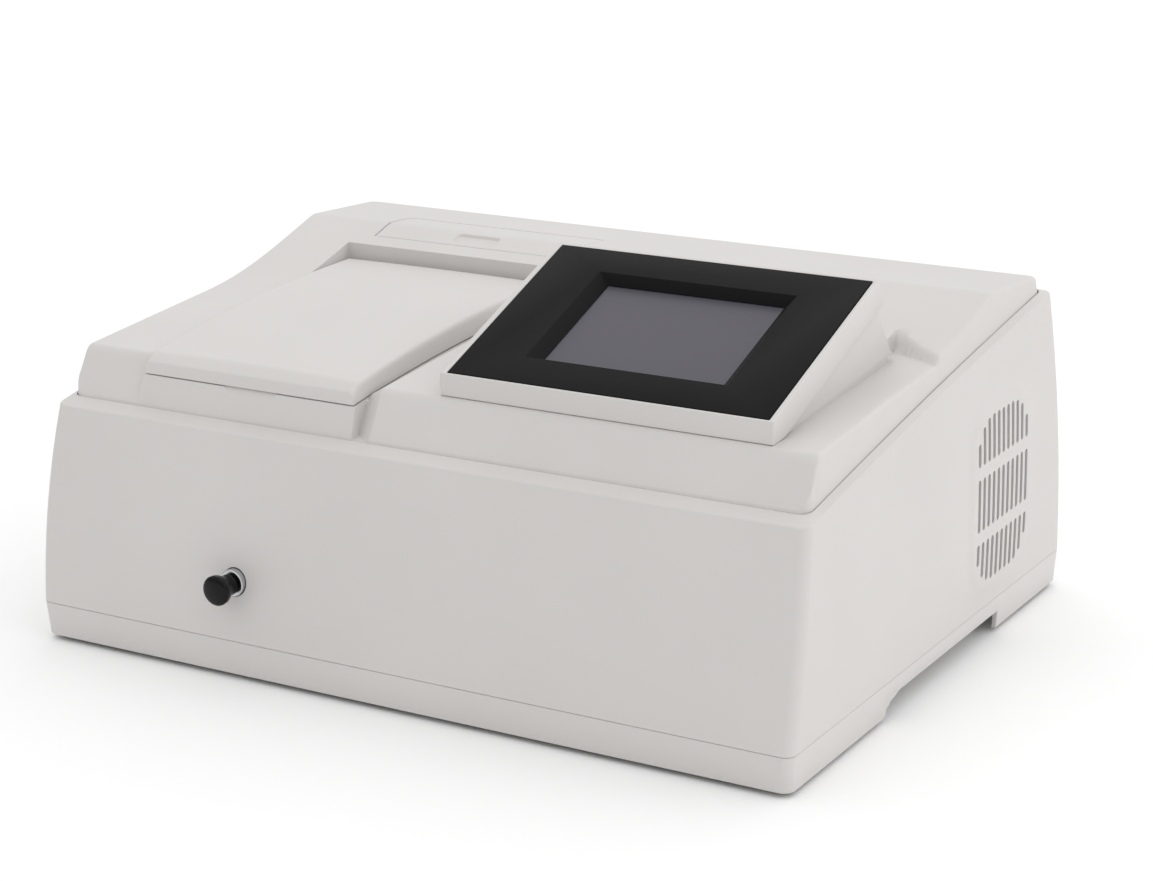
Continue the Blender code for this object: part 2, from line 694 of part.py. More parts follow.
# ---------------------------------------------------------------- sample compartment
def sample_chamber():
    """Deep black tub below the sample opening, with light ports and a hole for the rod."""
    def level(inset, height):
        front, back = TUB_Y[0] + inset, TUB_Y[1] - inset
        rows = steps(0.2, 0.8, 3)
        half_x = (TUB_X[1] - TUB_X[0]) / 2 - inset
        return ring(half_x, front, back, height, corner=0.003, arc=2, fractions=rows)

    def top(y):
        return lid_foot_z(y) - WALL - 3 * GAP

    outer = solid_of_rings([level(0.0, lambda y: BENCH_TOP + GAP), level(0.0, top)])
    inner = solid_of_rings([level(TUB_WALL, lambda y: BENCH_TOP + 0.0025),
                            level(TUB_WALL, lambda y: top(y) + 0.01)])
    mesh = boolean(outer, [inner])
    mesh.transform(Matrix.Translation(((TUB_X[0] + TUB_X[1]) / 2, 0, 0)))
    light = rod(0.006, 0.20, (-0.22, BEAM_Y, BEAM_Z), "X")
    rod_hole = rod(0.0040, 0.02, (KNOB_X, -0.165, KNOB_Z), "Y")
    return finish("sample_chamber", boolean(mesh, [light, rod_hole]), DARK)


def cell_changer():
    """Four-place cell rack on a slide, drawn along -Y by the knob on the front panel."""
    front = BEAM_Y - 0.0095
    back = BEAM_Y + (CELL_COUNT - 1) * CELL_PITCH + 0.0095
    block = box((KNOB_X - 0.0100, KNOB_X + 0.0100), (front, back), (0.0500, 0.1120))
    shoe = box((KNOB_X - 0.0245, KNOB_X + 0.0245), (front, back), (0.0500, 0.0550))
    mesh = boolean(block, [shoe], "UNION")
    cuts = []
    for k in range(CELL_COUNT):
        y = BEAM_Y + k * CELL_PITCH
        half = CELL_SIZE / 2
        cuts.append(box((KNOB_X - half, KNOB_X + half), (y - half, y + half), (0.0665, 0.12)))
        window_z = (BEAM_Z - 0.011, BEAM_Z + 0.014)
        cuts.append(box((KNOB_X - 0.02, KNOB_X + 0.02), (y - 0.004, y + 0.004), window_z))
    finish("cell_rack", boolean(mesh, cuts), DARK, (KNOB_X, BEAM_Y, KNOB_Z))
    tail = front - GAP
    knob_front = -0.2163
    start = knob_front + 0.0065
    shaft = rod(0.0030, tail - start, (KNOB_X, start, KNOB_Z), "Y", 16)
    finish("changer_rod", shaft, STEEL, (KNOB_X, BEAM_Y, KNOB_Z))
    profile = [(0, 0), (0.0050, 0.0002), (0.0080, 0.0014), (0.0094, 0.0038), (0.0092, 0.0058),
               (0.0074, 0.0082), (0.0060, 0.0098), (0.0058, 0.0112), (0.0064, 0.0150), (0.0064, 0.0158),
               (0.0033, 0.0158), (0.0033, 0.0062), (0, 0.0062)]
    knob = turned(profile, (KNOB_X, knob_front, KNOB_Z), "Y", 28)
    finish("changer_knob", knob, BLACK, (KNOB_X, BEAM_Y, KNOB_Z))
    finish("rod_bush", tube(0.0085, 0.0034, 0.0190, (KNOB_X, -0.1990, KNOB_Z), "Y"), STEEL)
    rail_x = (KNOB_X - 0.0300, KNOB_X + 0.0300)
    rail = box(rail_x, (-0.150, 0.040), (BENCH_TOP + 0.0028, 0.0497))
    ribs = [box((rail_x[0], rail_x[0] + 0.005), (-0.150, 0.040), (0.045, 0.0600)),
            box((rail_x[1] - 0.005, rail_x[1]), (-0.150, 0.040), (0.045, 0.0600))]
    finish("rack_rail", boolean(rail, ribs, "UNION"), ALUMINIUM)


# ---------------------------------------------------------------- optics
def optical_bench():
    """Cast plate that carries chamber, monochromator and lamps, on four legs."""
    low = 0.0260
    body = box((-0.2150, 0.2350), (-0.1650, 0.0600), (low, BENCH_TOP))
    wing = box((0.1500, 0.2350), (0.0400, 0.1500), (low, BENCH_TOP))
    legs = [rod(0.007, low - TRAY_FLOOR[1], (x, y, TRAY_FLOOR[1] + GAP), "Z", 12)
            for x, y in ((-0.200, -0.150), (-0.200, 0.045), (0.220, -0.150), (0.220, 0.135))]
    return finish("optical_bench", boolean(body, [wing] + legs, "UNION"), ALUMINIUM)


def monochromator():
    """Closed box for slits, mirrors and grating."""
    outer = box(MONO_X, MONO_Y, (BENCH_TOP + GAP, MONO_TOP))
    inner = box(grow(MONO_X, -0.0025), grow(MONO_Y, -0.0025), (BENCH_TOP + 0.0025, 0.16))
    slit_in = rod(0.0065, 0.02, (0.135, ENTRANCE_Y, BEAM_Z), "X")
    slit_out = rod(0.0065, 0.02, (-0.055, BEAM_Y, BEAM_Z), "X")
    finish("monochromator_housing", boolean(outer, [inner, slit_in, slit_out]), DARK)
    cover = box(MONO_X, MONO_Y, (MONO_TOP + GAP, MONO_TOP + 0.0025))
    finish("monochromator_cover", cover, DARK)
    for name, x, y in (("entrance_slit", 0.1400, ENTRANCE_Y), ("exit_slit", -0.0411, BEAM_Y)):
        disc = rod(0.010, 0.0020, (x, y, BEAM_Z), "X")
        slot = box((x - 0.01, x + 0.01), (y - 0.0005, y + 0.0005), (BEAM_Z - 0.005, BEAM_Z + 0.005))
        finish(name, boolean(disc, [slot]), STEEL)


def mirror(name, at, facing, width, height):
    """A mirror block on an upright stand, turned by an angle about Z."""
    glass = box((-0.004, 0.004), (-width / 2, width / 2), (BEAM_Z - height / 2, BEAM_Z + height / 2))
    stand = box((-0.007, 0.0), (-0.008, 0.008), (BENCH_TOP + 0.0025 + GAP, BEAM_Z))
    mesh = boolean(glass, [stand], "UNION")
    mesh.transform(Matrix.Translation((*at, 0)) @ Matrix.Rotation(math.radians(facing), 4, "Z"))
    finish(name, mesh, MIRROR)


def gear_outline(teeth, cut, bore_side):
    """Outline of a spur gear with straight-flanked teeth; only "cut" teeth stand out."""
    pitch = GEAR_MODULE * teeth / 2
    tip = pitch + 0.85 * GEAR_MODULE
    root = pitch - 1.10 * GEAR_MODULE
    step = 2 * math.pi / teeth
    points = []
    for k in range(cut):
        middle = (k - (cut - 1) / 2) * step
        for radius, part in ((root, -0.34), (tip, -0.12), (tip, 0.12), (root, 0.34)):
            points.append((radius * math.cos(middle + part * step), radius * math.sin(middle + part * step)))
    if cut < teeth:
        points.append((0.0, bore_side))
        points.append((-bore_side, 0.0))
        points.append((0.0, -bore_side))
    return points


def grating_drive():
    """Grating on its turret, the sector gear below it, and the stepper motor with its pinion."""
    x, y = GRATING_AT
    floor = BENCH_TOP + 0.0025 + GAP
    low = 0.0380
    sector = plate(gear_outline(GEAR_TEETH, GEAR_SECTOR, 0.013), 0.004, (0, 0, low))
    hub = rod(0.0095, 0.0185, (0, 0, low - 0.0005), "Z")
    holder = box((-0.006, 0.0060), (-0.015, 0.015), (0.0550, 0.0620))
    bore = rod(0.0043, 0.03, (0, 0, low - 0.005))
    turret = boolean(boolean(sector, [hub, holder], "UNION"), [bore])
    turret.transform(Matrix.Translation((x, y, 0)) @ Matrix.Rotation(math.radians(180), 4, "Z"))
    finish("grating_turret", turret, ALUMINIUM, (x, y, BEAM_Z))
    finish("turret_post", rod(0.0040, 0.0160, (x, y, floor), "Z", 16), STEEL)
    grating = box((-0.0060, 0.0000), (-0.015, 0.015), (0.0623, 0.1050))
    grating.transform(Matrix.Translation((x, y, 0)))
    finish("grating", grating, MIRROR, (x, y, BEAM_Z))
    reach = GEAR_MODULE * (GEAR_TEETH + PINION_TEETH) / 2
    motor_x = x - reach
    pinion = plate(gear_outline(PINION_TEETH, PINION_TEETH, 0.0), 0.005, (0, 0, low - 0.0005))
    pinion.transform(Matrix.Rotation(math.pi / PINION_TEETH, 4, "Z"))
    pinion = boolean(pinion, [rod(0.0013, 0.03, (0, 0, 0.03))])
    pinion.transform(Matrix.Translation((motor_x, y, 0)))
    finish("motor_pinion", pinion, BRASS, (motor_x, y, low))
    shaft = rod(0.0010, 0.014, (motor_x, y, 0.0370), "Z", 12)
    can = rod(0.0140, 0.0180, (motor_x, y, 0.0460), "Z", 20)
    bracket = [box((motor_x - 0.006, motor_x + 0.006), (y - 0.034, y - 0.010), (0.0470, 0.0495)),
               box((motor_x - 0.006, motor_x + 0.006), (y - 0.034, y - 0.031), (floor, 0.0495))]
    finish("grating_motor", boolean(can, [shaft] + bracket, "UNION"), STEEL)


def lamps():
    """Lamp house with both lamps, the switching mirror and the filter wheel."""
    outer = box(LAMP_X, LAMP_Y, (BENCH_TOP + GAP, LAMP_TOP))
    inner = box(grow(LAMP_X, -0.0015), grow(LAMP_Y, -0.0015), (BENCH_TOP + 0.0015, 0.17))
    light = rod(0.008, 0.02, (LAMP_X[0] - 0.01, ENTRANCE_Y, BEAM_Z), "X")
    air = rod(0.036, 0.02, (LAMP_X[1] - 0.01, VENT_Y, VENT_Z), "X", 24)
    finish("lamp_house", boolean(outer, [inner, light, air]), STEEL)
    floor = BENCH_TOP + 0.0015 + GAP
    x, y = SOURCE_AT
    holder_top = 0.030
    finish("halogen_holder", rod(0.013, holder_top, (x, HALOGEN_Y, floor), "Z"), DARK)
    bulb = [(0, 0), (0.0030, 0), (0.0045, 0.004), (0.0060, 0.012),
            (0.0060, 0.026), (0.0040, 0.032), (0, 0.034)]
    finish("halogen_lamp", turned(bulb, (x, HALOGEN_Y, floor + holder_top + GAP), "Z", 16), GLASS)
    holder_top = 0.020
    finish("deuterium_holder", rod(0.017, holder_top, (x, DEUTERIUM_Y, floor), "Z"), DARK)
    bulb = [(0, 0), (0.0150, 0), (0.0150, 0.055), (0.0110, 0.062), (0, 0.064)]
    finish("deuterium_lamp", turned(bulb, (x, DEUTERIUM_Y, floor + holder_top + GAP), "Z", 20), GLASS)
    motor = rod(0.0120, 0.0220, (x, y, floor), "Z")
    shaft = rod(0.0015, 0.008, (x, y, floor + 0.020), "Z", 12)
    finish("mirror_motor", boolean(motor, [shaft], "UNION"), STEEL)
    face = box((0.0, 0.0040), (-0.011, 0.011), (0.0640, 0.1060))
    foot = rod(0.0060, 0.0080, (0, 0, 0.0585), "Z", 16)
    turning = boolean(boolean(face, [foot], "UNION"), [rod(0.0018, 0.0075, (0, 0, 0.055), "Z", 12)])
    turning.transform(Matrix.Translation((x, y, 0)) @ Matrix.Rotation(math.radians(45), 4, "Z"))
    finish("source_mirror", turning, MIRROR, (x, y, BEAM_Z))
    wheel = rod(0.0310, 0.0030, (WHEEL_X, WHEEL_Y, BEAM_Z), "X", 28)
    cuts = [rod(0.0018, 0.01, (WHEEL_X - 0.001, WHEEL_Y, BEAM_Z), "X", 12)]
    for k in range(FILTER_COUNT):
        angle = 2 * math.pi * k / FILTER_COUNT
        y = WHEEL_Y - FILTER_RING * math.cos(angle)
        z = BEAM_Z + FILTER_RING * math.sin(angle)
        cuts.append(rod(0.0055, 0.01, (WHEEL_X - 0.003, y, z), "X", 10))
    finish("filter_wheel", boolean(wheel, cuts), DARK, (WHEEL_X, WHEEL_Y, BEAM_Z))
    can = rod(0.0110, 0.0125, (0.1520, WHEEL_Y, BEAM_Z), "X")
    tip = rod(0.0015, 0.006, (0.1480, WHEEL_Y, BEAM_Z), "X", 12)
    finish("filter_motor", boolean(can, [tip], "UNION"), STEEL)


def detector():
    x = (-0.2480, TUB_X[0] - GAP)
    outer = box(x, (BEAM_Y - 0.022, BEAM_Y + 0.022), (BENCH_TOP + GAP, 0.1150))
    inner = box(grow(x, -0.002), (BEAM_Y - 0.020, BEAM_Y + 0.020), (BENCH_TOP + 0.0025, 0.1130))
    port = rod(0.0065, 0.02, (TUB_X[0] - 0.01, BEAM_Y, BEAM_Z), "X")
    hatch = box((x[0] - 0.01, x[0] + 0.01), (BEAM_Y - 0.010, BEAM_Y + 0.010), (0.045, 0.060))
    finish("detector_housing", boolean(outer, [inner, port, hatch]), DARK)
    board = box((-0.2330, -0.2314), (BEAM_Y - 0.018, BEAM_Y + 0.018), (0.0500, 0.1080))
    finish("preamp_board", board, BOARD)
    finish("photodiode", rod(0.0060, 0.0080, (-0.2311, BEAM_Y, BEAM_Z), "X"), STEEL)


# ---------------------------------------------------------------- electronics and rear panel
def cooling_fan():
    x = (0.2290, 0.2540)
    half = 0.0400
    frame = rounded_box((-half, half), (-half, half), (0, x[1] - x[0]), 0.004)
    hole = rod(0.0375, 0.06, (0, 0, -0.01), "Z", 32)
    frame = boolean(frame, [hole])
    struts = [box((-0.038, 0.038), (-0.0015, 0.0015), (0, 0.003)),
              box((-0.0015, 0.0015), (-0.038, 0.038), (0, 0.003)),
              rod(0.013, 0.003, (0, 0, 0), "Z", 20),
              rod(0.0018, 0.012, (0, 0, 0), "Z", 12)]
    frame = boolean(frame, struts, "UNION")
    place = Matrix.Translation((x[0], VENT_Y, VENT_Z)) @ turn_to("X")
    frame.transform(place)
    finish("fan_frame", frame, DARK)
    outline = []
    blades = 7
    for k in range(blades):
        start = 2 * math.pi * k / blades
        for radius, turn in ((0.0140, 0.0), (0.0360, 0.22), (0.0362, 0.62), (0.0140, 0.52)):
            outline.append((radius * math.cos(start + turn), radius * math.sin(start + turn)))
    rotor = plate(outline, 0.008, (0, 0, 0.010))
    rotor = boolean(rotor, [rod(0.0140, 0.016, (0, 0, 0.006), "Z", 24)], "UNION")
    rotor = boolean(rotor, [rod(0.0021, 0.014, (0, 0, 0.0), "Z", 12)])
    rotor.transform(place)
    finish("fan_rotor", rotor, DARK, (x[0] + 0.012, VENT_Y, VENT_Z))


def board_with_parts(name, x, y, z, blocks):
    """A circuit board on four pillars, with the larger components as blocks."""
    slab = box(x, y, (z, z + 0.0016))
    pillars = [rod(0.003, z - TRAY_FLOOR[1], (px, py, TRAY_FLOOR[1] + GAP), "Z", 10)
               for px in grow(x, -0.006) for py in grow(y, -0.006)]
    finish(name, boolean(slab, pillars + [box(*b) for b in blocks], "UNION"), BOARD)


def electronics():
    board_with_parts("power_supply", (-0.2300, -0.0700), (0.0750, 0.1750), 0.0220,
                     [((-0.220, -0.165), (0.085, 0.135), (0.0230, 0.060)),
                      ((-0.150, -0.120), (0.090, 0.120), (0.0230, 0.045)),
                      ((-0.110, -0.085), (0.085, 0.160), (0.0230, 0.050))])
    board_with_parts("main_board", (-0.0550, 0.1400), (0.0700, 0.1500), 0.0220,
                     [((0.000, 0.030), (0.095, 0.125), (0.0230, 0.027)),
                      ((0.060, 0.072), (0.080, 0.110), (0.0230, 0.026)),
                      ((0.100, 0.130), (0.140, 0.148), (0.0230, 0.032))])


def rear_panel():
    sheet = box((0.0520, 0.2080), (PLATE_Y, PLATE_Y + PLATE_THICK), (0.0275, 0.0960))
    cuts = []
    holes = ((INLET_AT, (0.0276, 0.0226)), (SWITCH_AT, (0.0196, 0.0276)), (PORT_AT, (0.0206, 0.0126)))
    for (x, z), (w, h) in holes:
        cuts.append(box((x - w / 2, x + w / 2), (PLATE_Y - 0.01, PLATE_Y + 0.01), (z - h / 2, z + h / 2)))
    finish("connector_plate", boolean(sheet, cuts), STEEL)
    face = PLATE_Y + PLATE_THICK + GAP
    x, z = INLET_AT
    flange = box((x - 0.0165, x + 0.0165), (face, face + 0.0030), (z - 0.0140, z + 0.0140))
    barrel = box((x - 0.0135, x + 0.0135), (face - 0.020, face + 0.001), (z - 0.0110, z + 0.0110))
    socket = box((x - 0.0120, x + 0.0120), (face - 0.014, face + 0.010), (z - 0.0082, z + 0.0082))
    pins = []
    for dx, dz in ((-0.007, -0.002), (0.0, 0.002), (0.007, -0.002)):
        pin_x = (x + dx - 0.001, x + dx + 0.001)
        pins.append(box(pin_x, (face - 0.015, face - 0.002), (z + dz - 0.002, z + dz + 0.002)))
    inlet = boolean(boolean(boolean(flange, [barrel], "UNION"), [socket]), pins, "UNION")
    finish("power_inlet", inlet, BLACK)
    x, z = SWITCH_AT
    flange = box((x - 0.0125, x + 0.0125), (face, face + 0.0020), (z - 0.0165, z + 0.0165))
    barrel = box((x - 0.0095, x + 0.0095), (face - 0.016, face + 0.001), (z - 0.0135, z + 0.0135))
    well = box((x - 0.0080, x + 0.0080), (face - 0.010, face + 0.010), (z - 0.0125, z + 0.0125))
    finish("power_switch", boolean(boolean(flange, [barrel], "UNION"), [well]), BLACK)
    pivot = (x, face - 0.0020, z)
    section = [(-0.0020, -0.0080), (0.0055, -0.0112), (0.0030, 0.0), (0.0012, 0.0112), (-0.0010, 0.0080)]
    rocker = across([(pivot[1] + dy, z + dz) for dy, dz in section], (x - 0.0076, x + 0.0076))
    finish("power_rocker", rocker, BLACK, pivot)
    x, z = PORT_AT
    flange = box((x - 0.0155, x + 0.0155), (face, face + 0.0012), (z - 0.0062, z + 0.0062))
    shell = box((x - 0.0085, x + 0.0085), (face - 0.008, face + 0.0062), (z - 0.0042, z + 0.0042))
    finish("serial_port", boolean(flange, [shell], "UNION"), STEEL)
    head = [(0, 0), (0.0028, 0), (0.0028, 0.0012), (0.0016, 0.0020), (0, 0.0020)]
    for name, x, z in (("plate_screw_left", 0.0640, 0.0400), ("plate_screw_right", 0.1960, 0.0400)):
        finish(name, turned(head, (x, face, z), "Y", 16), STEEL)


def feet():
    profile = [(0, -FOOT_REACH), (0.0085, -FOOT_REACH), (0.0095, -FOOT_REACH + 0.001), (0.0105, 0.0120 - GAP),
               (0, 0.0120 - GAP)]
    for side, x in (("left", -FOOT_X), ("right", FOOT_X)):
        for end, y in (("front", FOOT_FRONT_Y), ("rear", FOOT_REAR_Y)):
            finish("foot_" + end + "_" + side, turned(profile, (x, y, 0.0), "Z", 20), RUBBER)


base_tray()
main_casing()
top_cover()
sample_lid()
lid_pins()
rear_hatch()
display_frame()
display_pedestal()
display_insides()
sample_chamber()
cell_changer()
optical_bench()
monochromator()
mirror("collimating_mirror", (-0.0250, 0.0350), 8, 0.040, 0.040)
mirror("camera_mirror", (-0.0250, -0.0150), -6, 0.040, 0.040)
mirror("fold_mirror", (0.1300, -0.0700), 160, 0.025, 0.025)
grating_drive()
lamps()
detector()
cooling_fan()
electronics()
rear_panel()
feet()
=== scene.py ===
"""Looks of the bench-top spectrophotometer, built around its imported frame.

Shapes are worked out in the casing's own frame, in metres: x and y from the casing's middle and z from
the lower edge of the tray.  settle() carries each finished piece from there into the frame's place.
"""
import json
import math

import bpy
from mathutils import Matrix, Vector


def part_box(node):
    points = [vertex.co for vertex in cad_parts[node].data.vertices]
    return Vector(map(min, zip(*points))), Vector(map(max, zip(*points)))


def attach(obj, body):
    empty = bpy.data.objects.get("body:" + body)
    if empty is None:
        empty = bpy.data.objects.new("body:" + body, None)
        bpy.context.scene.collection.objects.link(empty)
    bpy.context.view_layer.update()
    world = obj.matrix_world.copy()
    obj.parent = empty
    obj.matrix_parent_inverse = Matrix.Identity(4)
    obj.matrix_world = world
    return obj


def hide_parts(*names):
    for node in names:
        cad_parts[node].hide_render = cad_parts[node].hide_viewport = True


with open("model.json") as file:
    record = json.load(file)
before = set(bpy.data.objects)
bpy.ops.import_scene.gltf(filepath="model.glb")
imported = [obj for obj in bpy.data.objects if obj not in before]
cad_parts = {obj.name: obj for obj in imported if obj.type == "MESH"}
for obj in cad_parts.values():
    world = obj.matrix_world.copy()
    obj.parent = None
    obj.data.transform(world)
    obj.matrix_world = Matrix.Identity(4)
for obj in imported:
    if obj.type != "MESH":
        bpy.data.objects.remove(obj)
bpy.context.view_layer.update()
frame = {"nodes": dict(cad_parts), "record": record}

TRAY_LOW, TRAY_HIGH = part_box("base_tray")
PLACE = Vector((0.0, (TRAY_LOW.y + TRAY_HIGH.y) / 2, TRAY_LOW.z))

# ---------------------------------------------------------------- casing
GAP = 0.0003
WALL = 0.003
SEAM_HALF_X, SEAM_HALF_Y, SEAM_Z = 0.2650, 0.2008, 0.0224
RIM_HALF_X, RIM_HALF_Y = 0.2627, 0.1772
BOTTOM_HALF_X, BOTTOM_HALF_Y = 0.2635, 0.1993
BULGE = 0.0022
CORNER = 0.007
RIM_RADIUS = 0.0016              # soft edge where the wall turns into the ledge
TRAY_FLOOR = 0.0120

# ---------------------------------------------------------------- top cover
FOOT_HALF_X, FOOT_FRONT, FOOT_BACK = 0.2571, -0.1663, 0.1712
TOP_HALF_X, TOP_FRONT, TOP_BACK = 0.2561, -0.1508, 0.1690
LEDGE_RISE = 0.0020
DECK_FRONT_Z, DECK_SLOPE = 0.1807, 0.068
S_START, S_KNEE, S_POWER = -0.030, 0.096, 2.25
KNEE_Z, REAR_SLOPE = 0.2172, -0.066
SHELL = 0.0022
GUTTER_X = (-0.0438, -0.0310)
GUTTER_DEPTH = 0.0075
OPENING_X, OPENING_Y = (-0.1920, -0.0580), (-0.1480, 0.0360)

# ---------------------------------------------------------------- lid and hatch
LID_X, LID_Y = (-0.2020, -0.0450), (-0.1610, 0.0605)
LID_FRONT_Z = 0.1833
LID_EDGE = 0.0036
LIP_Z = 0.1717
POCKET_X = (-0.2032, -0.0438)
POCKET_BACK = 0.0640
HINGE_Y, HINGE_Z = 0.0560, 0.1915
PIN_BORE = 0.0015
NOTCH_X = (-0.1410, -0.1020)     # finger notch under the lid's lip
HATCH_X, HATCH_Y = (-0.1900, -0.0350), (0.0765, 0.1200)
HATCH_THICK = 0.0018
HATCH_CORNER = 0.009
HATCH_SEAT = 0.0025                # width of the ledge that the hatch rests on
GRIP_X, GRIP_Y = (-0.1310, -0.0970), (0.0810, 0.0915)

# ---------------------------------------------------------------- display
TILT = math.radians(20.1)
BEZEL_AT = Vector((0.0, -0.1468, 0.1954))
BEZEL_X, BEZEL_LENGTH, BEZEL_DEPTH = (0.0130, 0.2231), 0.1424, 0.0062
SLAB_X, SLAB_FRONT, SLAB_THICK, SLAB_MARGIN = (0.0085, 0.2268), -0.1483, 0.0170, 0.0022
WINDOW_X, WINDOW_U = (0.0520, 0.1860), (0.0250, 0.1190)
LCD_X, LCD_U = (0.0610, 0.1770), (0.0270, 0.1130)
PEDESTAL_X = (0.0110, 0.2236)

# ---------------------------------------------------------------- vent, knob, feet
VENT_Y, VENT_Z, VENT_HALF_Y, VENT_HALF_Z, VENT_CORNER = 0.0910, 0.0936, 0.0400, 0.0535, 0.0250
SLOT_WIDTH, SLOT_PITCH, SLOT_COLUMNS = 0.0040, 0.0075, 11
SLOT_ROWS = ((0.0401, 0.0684), (0.0760, 0.1102), (0.1180, 0.1471))
PAD_RISE, PAD_GROW, PAD_SOFT = 0.0009, 0.0085, 0.0060
KNOB_X, KNOB_Z, KNOB_FRONT = -0.1138, 0.0590, -0.2163
CONNECTOR_X, CONNECTOR_Z = (0.0600, 0.2000), (0.0340, 0.0900)


# ================================================================ small sums
def lerp(a, b, t):
    return a + (b - a) * t


def ease(x, low, high):
    """0 below low, 1 above high, and smooth between."""
    t = min(max((x - low) / (high - low), 0.0), 1.0)
    return t * t * (3 - 2 * t)


def soft_min(a, b, k):
    """The lower of two heights, rounded over k where they cross."""
    h = max(k - abs(a - b), 0.0) / k
    return min(a, b) - h * h * k / 4


def steps(a, b, count):
    return [lerp(a, b, k / count) for k in range(count + 1)]


def lines(low, high, coarse, fine):
    """Grid lines from low to high: a coarse spacing, and closer ones in each (from, to, spacing)."""
    values = steps(low, high, round((high - low) / coarse))
    for a, b, spacing in fine:
        values = [v for v in values if v < a - spacing or v > b + spacing or v in (low, high)]
        values += [v for v in steps(a, b, max(round((b - a) / spacing), 1)) if low < v < high]
    kept = []
    for v in sorted(values):
        if not kept or v - kept[-1] > 0.00008:
            kept.append(v)
    kept[-1] = high
    return kept


def around(value, reach, spacing):
    """A fine band for lines(), round one value."""
    return value - reach, value + reach, spacing


def box_distance(x, y, half_x, half_y, radius):
    """Signed distance from a point to a rounded rectangle round the origin."""
    dx = abs(x) - half_x + radius
    dy = abs(y) - half_y + radius
    return math.hypot(max(dx, 0.0), max(dy, 0.0)) + min(max(dx, dy), 0.0) - radius


def rim_z(y):
    return 0.1768 + 0.155 * y - 0.078 * y * y


def deck_z(y):
    """The deck: a gentle ramp, an S rise, then a slight fall."""
    ramp = DECK_FRONT_Z + DECK_SLOPE * (y - TOP_FRONT)
    rear = KNEE_Z + REAR_SLOPE * (y - S_KNEE)
    t = min(max((y - S_START) / (S_KNEE - S_START), 0.0), 1.0)
    return soft_min(lerp(ramp, rear, t ** S_POWER), rear, 0.0012)


def lid_z(y):
    u = (y - LID_Y[0] - 0.006) / (LID_Y[1] - LID_Y[0] - 0.006)
    return LID_FRONT_Z + 0.0316 * u - 0.0166 * u * u


def lid_foot_z(y):
    return LIP_Z + 0.85 * (lid_z(y) - LID_FRONT_Z)


def dish_z(x, y):
    """Tilted floor right of the display, with a wall that climbs behind it."""
    floor = 0.1812 + 0.0925 * (x - 0.2280) + 0.0557 * (y + 0.1430)
    back = 0.035 - 0.625 * (x - 0.215)
    return floor + 1.6 * max(y - back, 0.0)


# ================================================================ modelling, as by hand
def start_clean():
    if bpy.context.mode != "OBJECT":
        bpy.ops.object.mode_set(mode="OBJECT")
    bpy.ops.object.select_all(action="DESELECT")


def pick(piece):
    start_clean()
    piece.select_set(True)
    bpy.context.view_layer.objects.active = piece
    return piece


def named(name):
    piece = bpy.context.active_object
    piece.name = name
    piece.data.name = name
    piece.data.materials.clear()
    return piece


def apply(piece, kind, **settings):
    """Add a modifier with its settings and apply it."""
    pick(piece)
    modifier = piece.modifiers.new(kind.lower(), kind)
    for key, value in settings.items():
        setattr(modifier, key, value)
    bpy.ops.object.modifier_apply(modifier=modifier.name)
    return piece


def edit(piece, *actions):
    """Run edit-mode actions on everything in a piece."""
    pick(piece)
    bpy.ops.object.mode_set(mode="EDIT")
    bpy.ops.mesh.select_all(action="SELECT")
    for action in actions:
        action()
    bpy.ops.object.mode_set(mode="OBJECT")
    return piece


def weld():
    bpy.ops.mesh.remove_doubles(threshold=0.000005)


def face_out():
    bpy.ops.mesh.normals_make_consistent(inside=False)


def soften(piece, width, segments=3, angle=32):
    """Round every edge sharper than the angle, as a moulding or a broken edge is."""
    return apply(piece, "BEVEL", width=width, segments=segments, limit_method="ANGLE",
                 angle_limit=math.radians(angle), harden_normals=False, use_clamp_overlap=True)


def cut(piece, *tools, operation="DIFFERENCE"):
    for tool in tools:
        apply(piece, "BOOLEAN", object=tool, operation=operation, solver="EXACT")
        bpy.data.objects.remove(tool, do_unlink=True)
    return piece


def block(name, x, y, z):
    start_clean()
    bpy.ops.mesh.primitive_cube_add(size=1.0)
    piece = named(name)
    size = Vector((x[1] - x[0], y[1] - y[0], z[1] - z[0]))
    middle = Vector((x[0] + x[1], y[0] + y[1], z[0] + z[1])) / 2
    piece.data.transform(Matrix.Translation(middle) @ Matrix.Diagonal((*size, 1.0)))
    return piece


def sheet_of(name, xs, ys, place):
    """A grid whose lines lie at xs and ys; place(x, y) puts each of its points in space."""
    start_clean()
    bpy.ops.mesh.primitive_grid_add(x_subdivisions=len(xs) - 1, y_subdivisions=len(ys) - 1, size=1.0)
    piece = named(name)
    for v in piece.data.vertices:
        i = round((v.co.x + 0.5) * (len(xs) - 1))
        j = round((v.co.y + 0.5) * (len(ys) - 1))
        v.co = place(xs[i], ys[j])
    return piece


def skirt(piece, drop_to):
    """Extrude a sheet's border; drop_to(point) says where each border point goes."""
    pick(piece)
    bpy.ops.object.mode_set(mode="EDIT")
    bpy.ops.mesh.select_mode(type="EDGE")
    bpy.ops.mesh.select_all(action="DESELECT")
    bpy.ops.mesh.select_non_manifold(extend=False)
    bpy.ops.mesh.extrude_edges_move()
    bpy.ops.object.mode_set(mode="OBJECT")
    for v in piece.data.vertices:
        if v.select:
            v.co = drop_to(v.co)
    return piece


def remove_faces(piece, inside):
    """Take away the faces whose middle is inside(middle)."""
    pick(piece)
    bpy.ops.object.mode_set(mode="EDIT")
    bpy.ops.mesh.select_mode(type="FACE")
    bpy.ops.mesh.select_all(action="DESELECT")
    bpy.ops.object.mode_set(mode="OBJECT")
    for face in piece.data.polygons:
        face.select = inside(face.center)
    bpy.ops.object.mode_set(mode="EDIT")
    bpy.ops.mesh.delete(type="FACE")
    bpy.ops.object.mode_set(mode="OBJECT")
    return piece


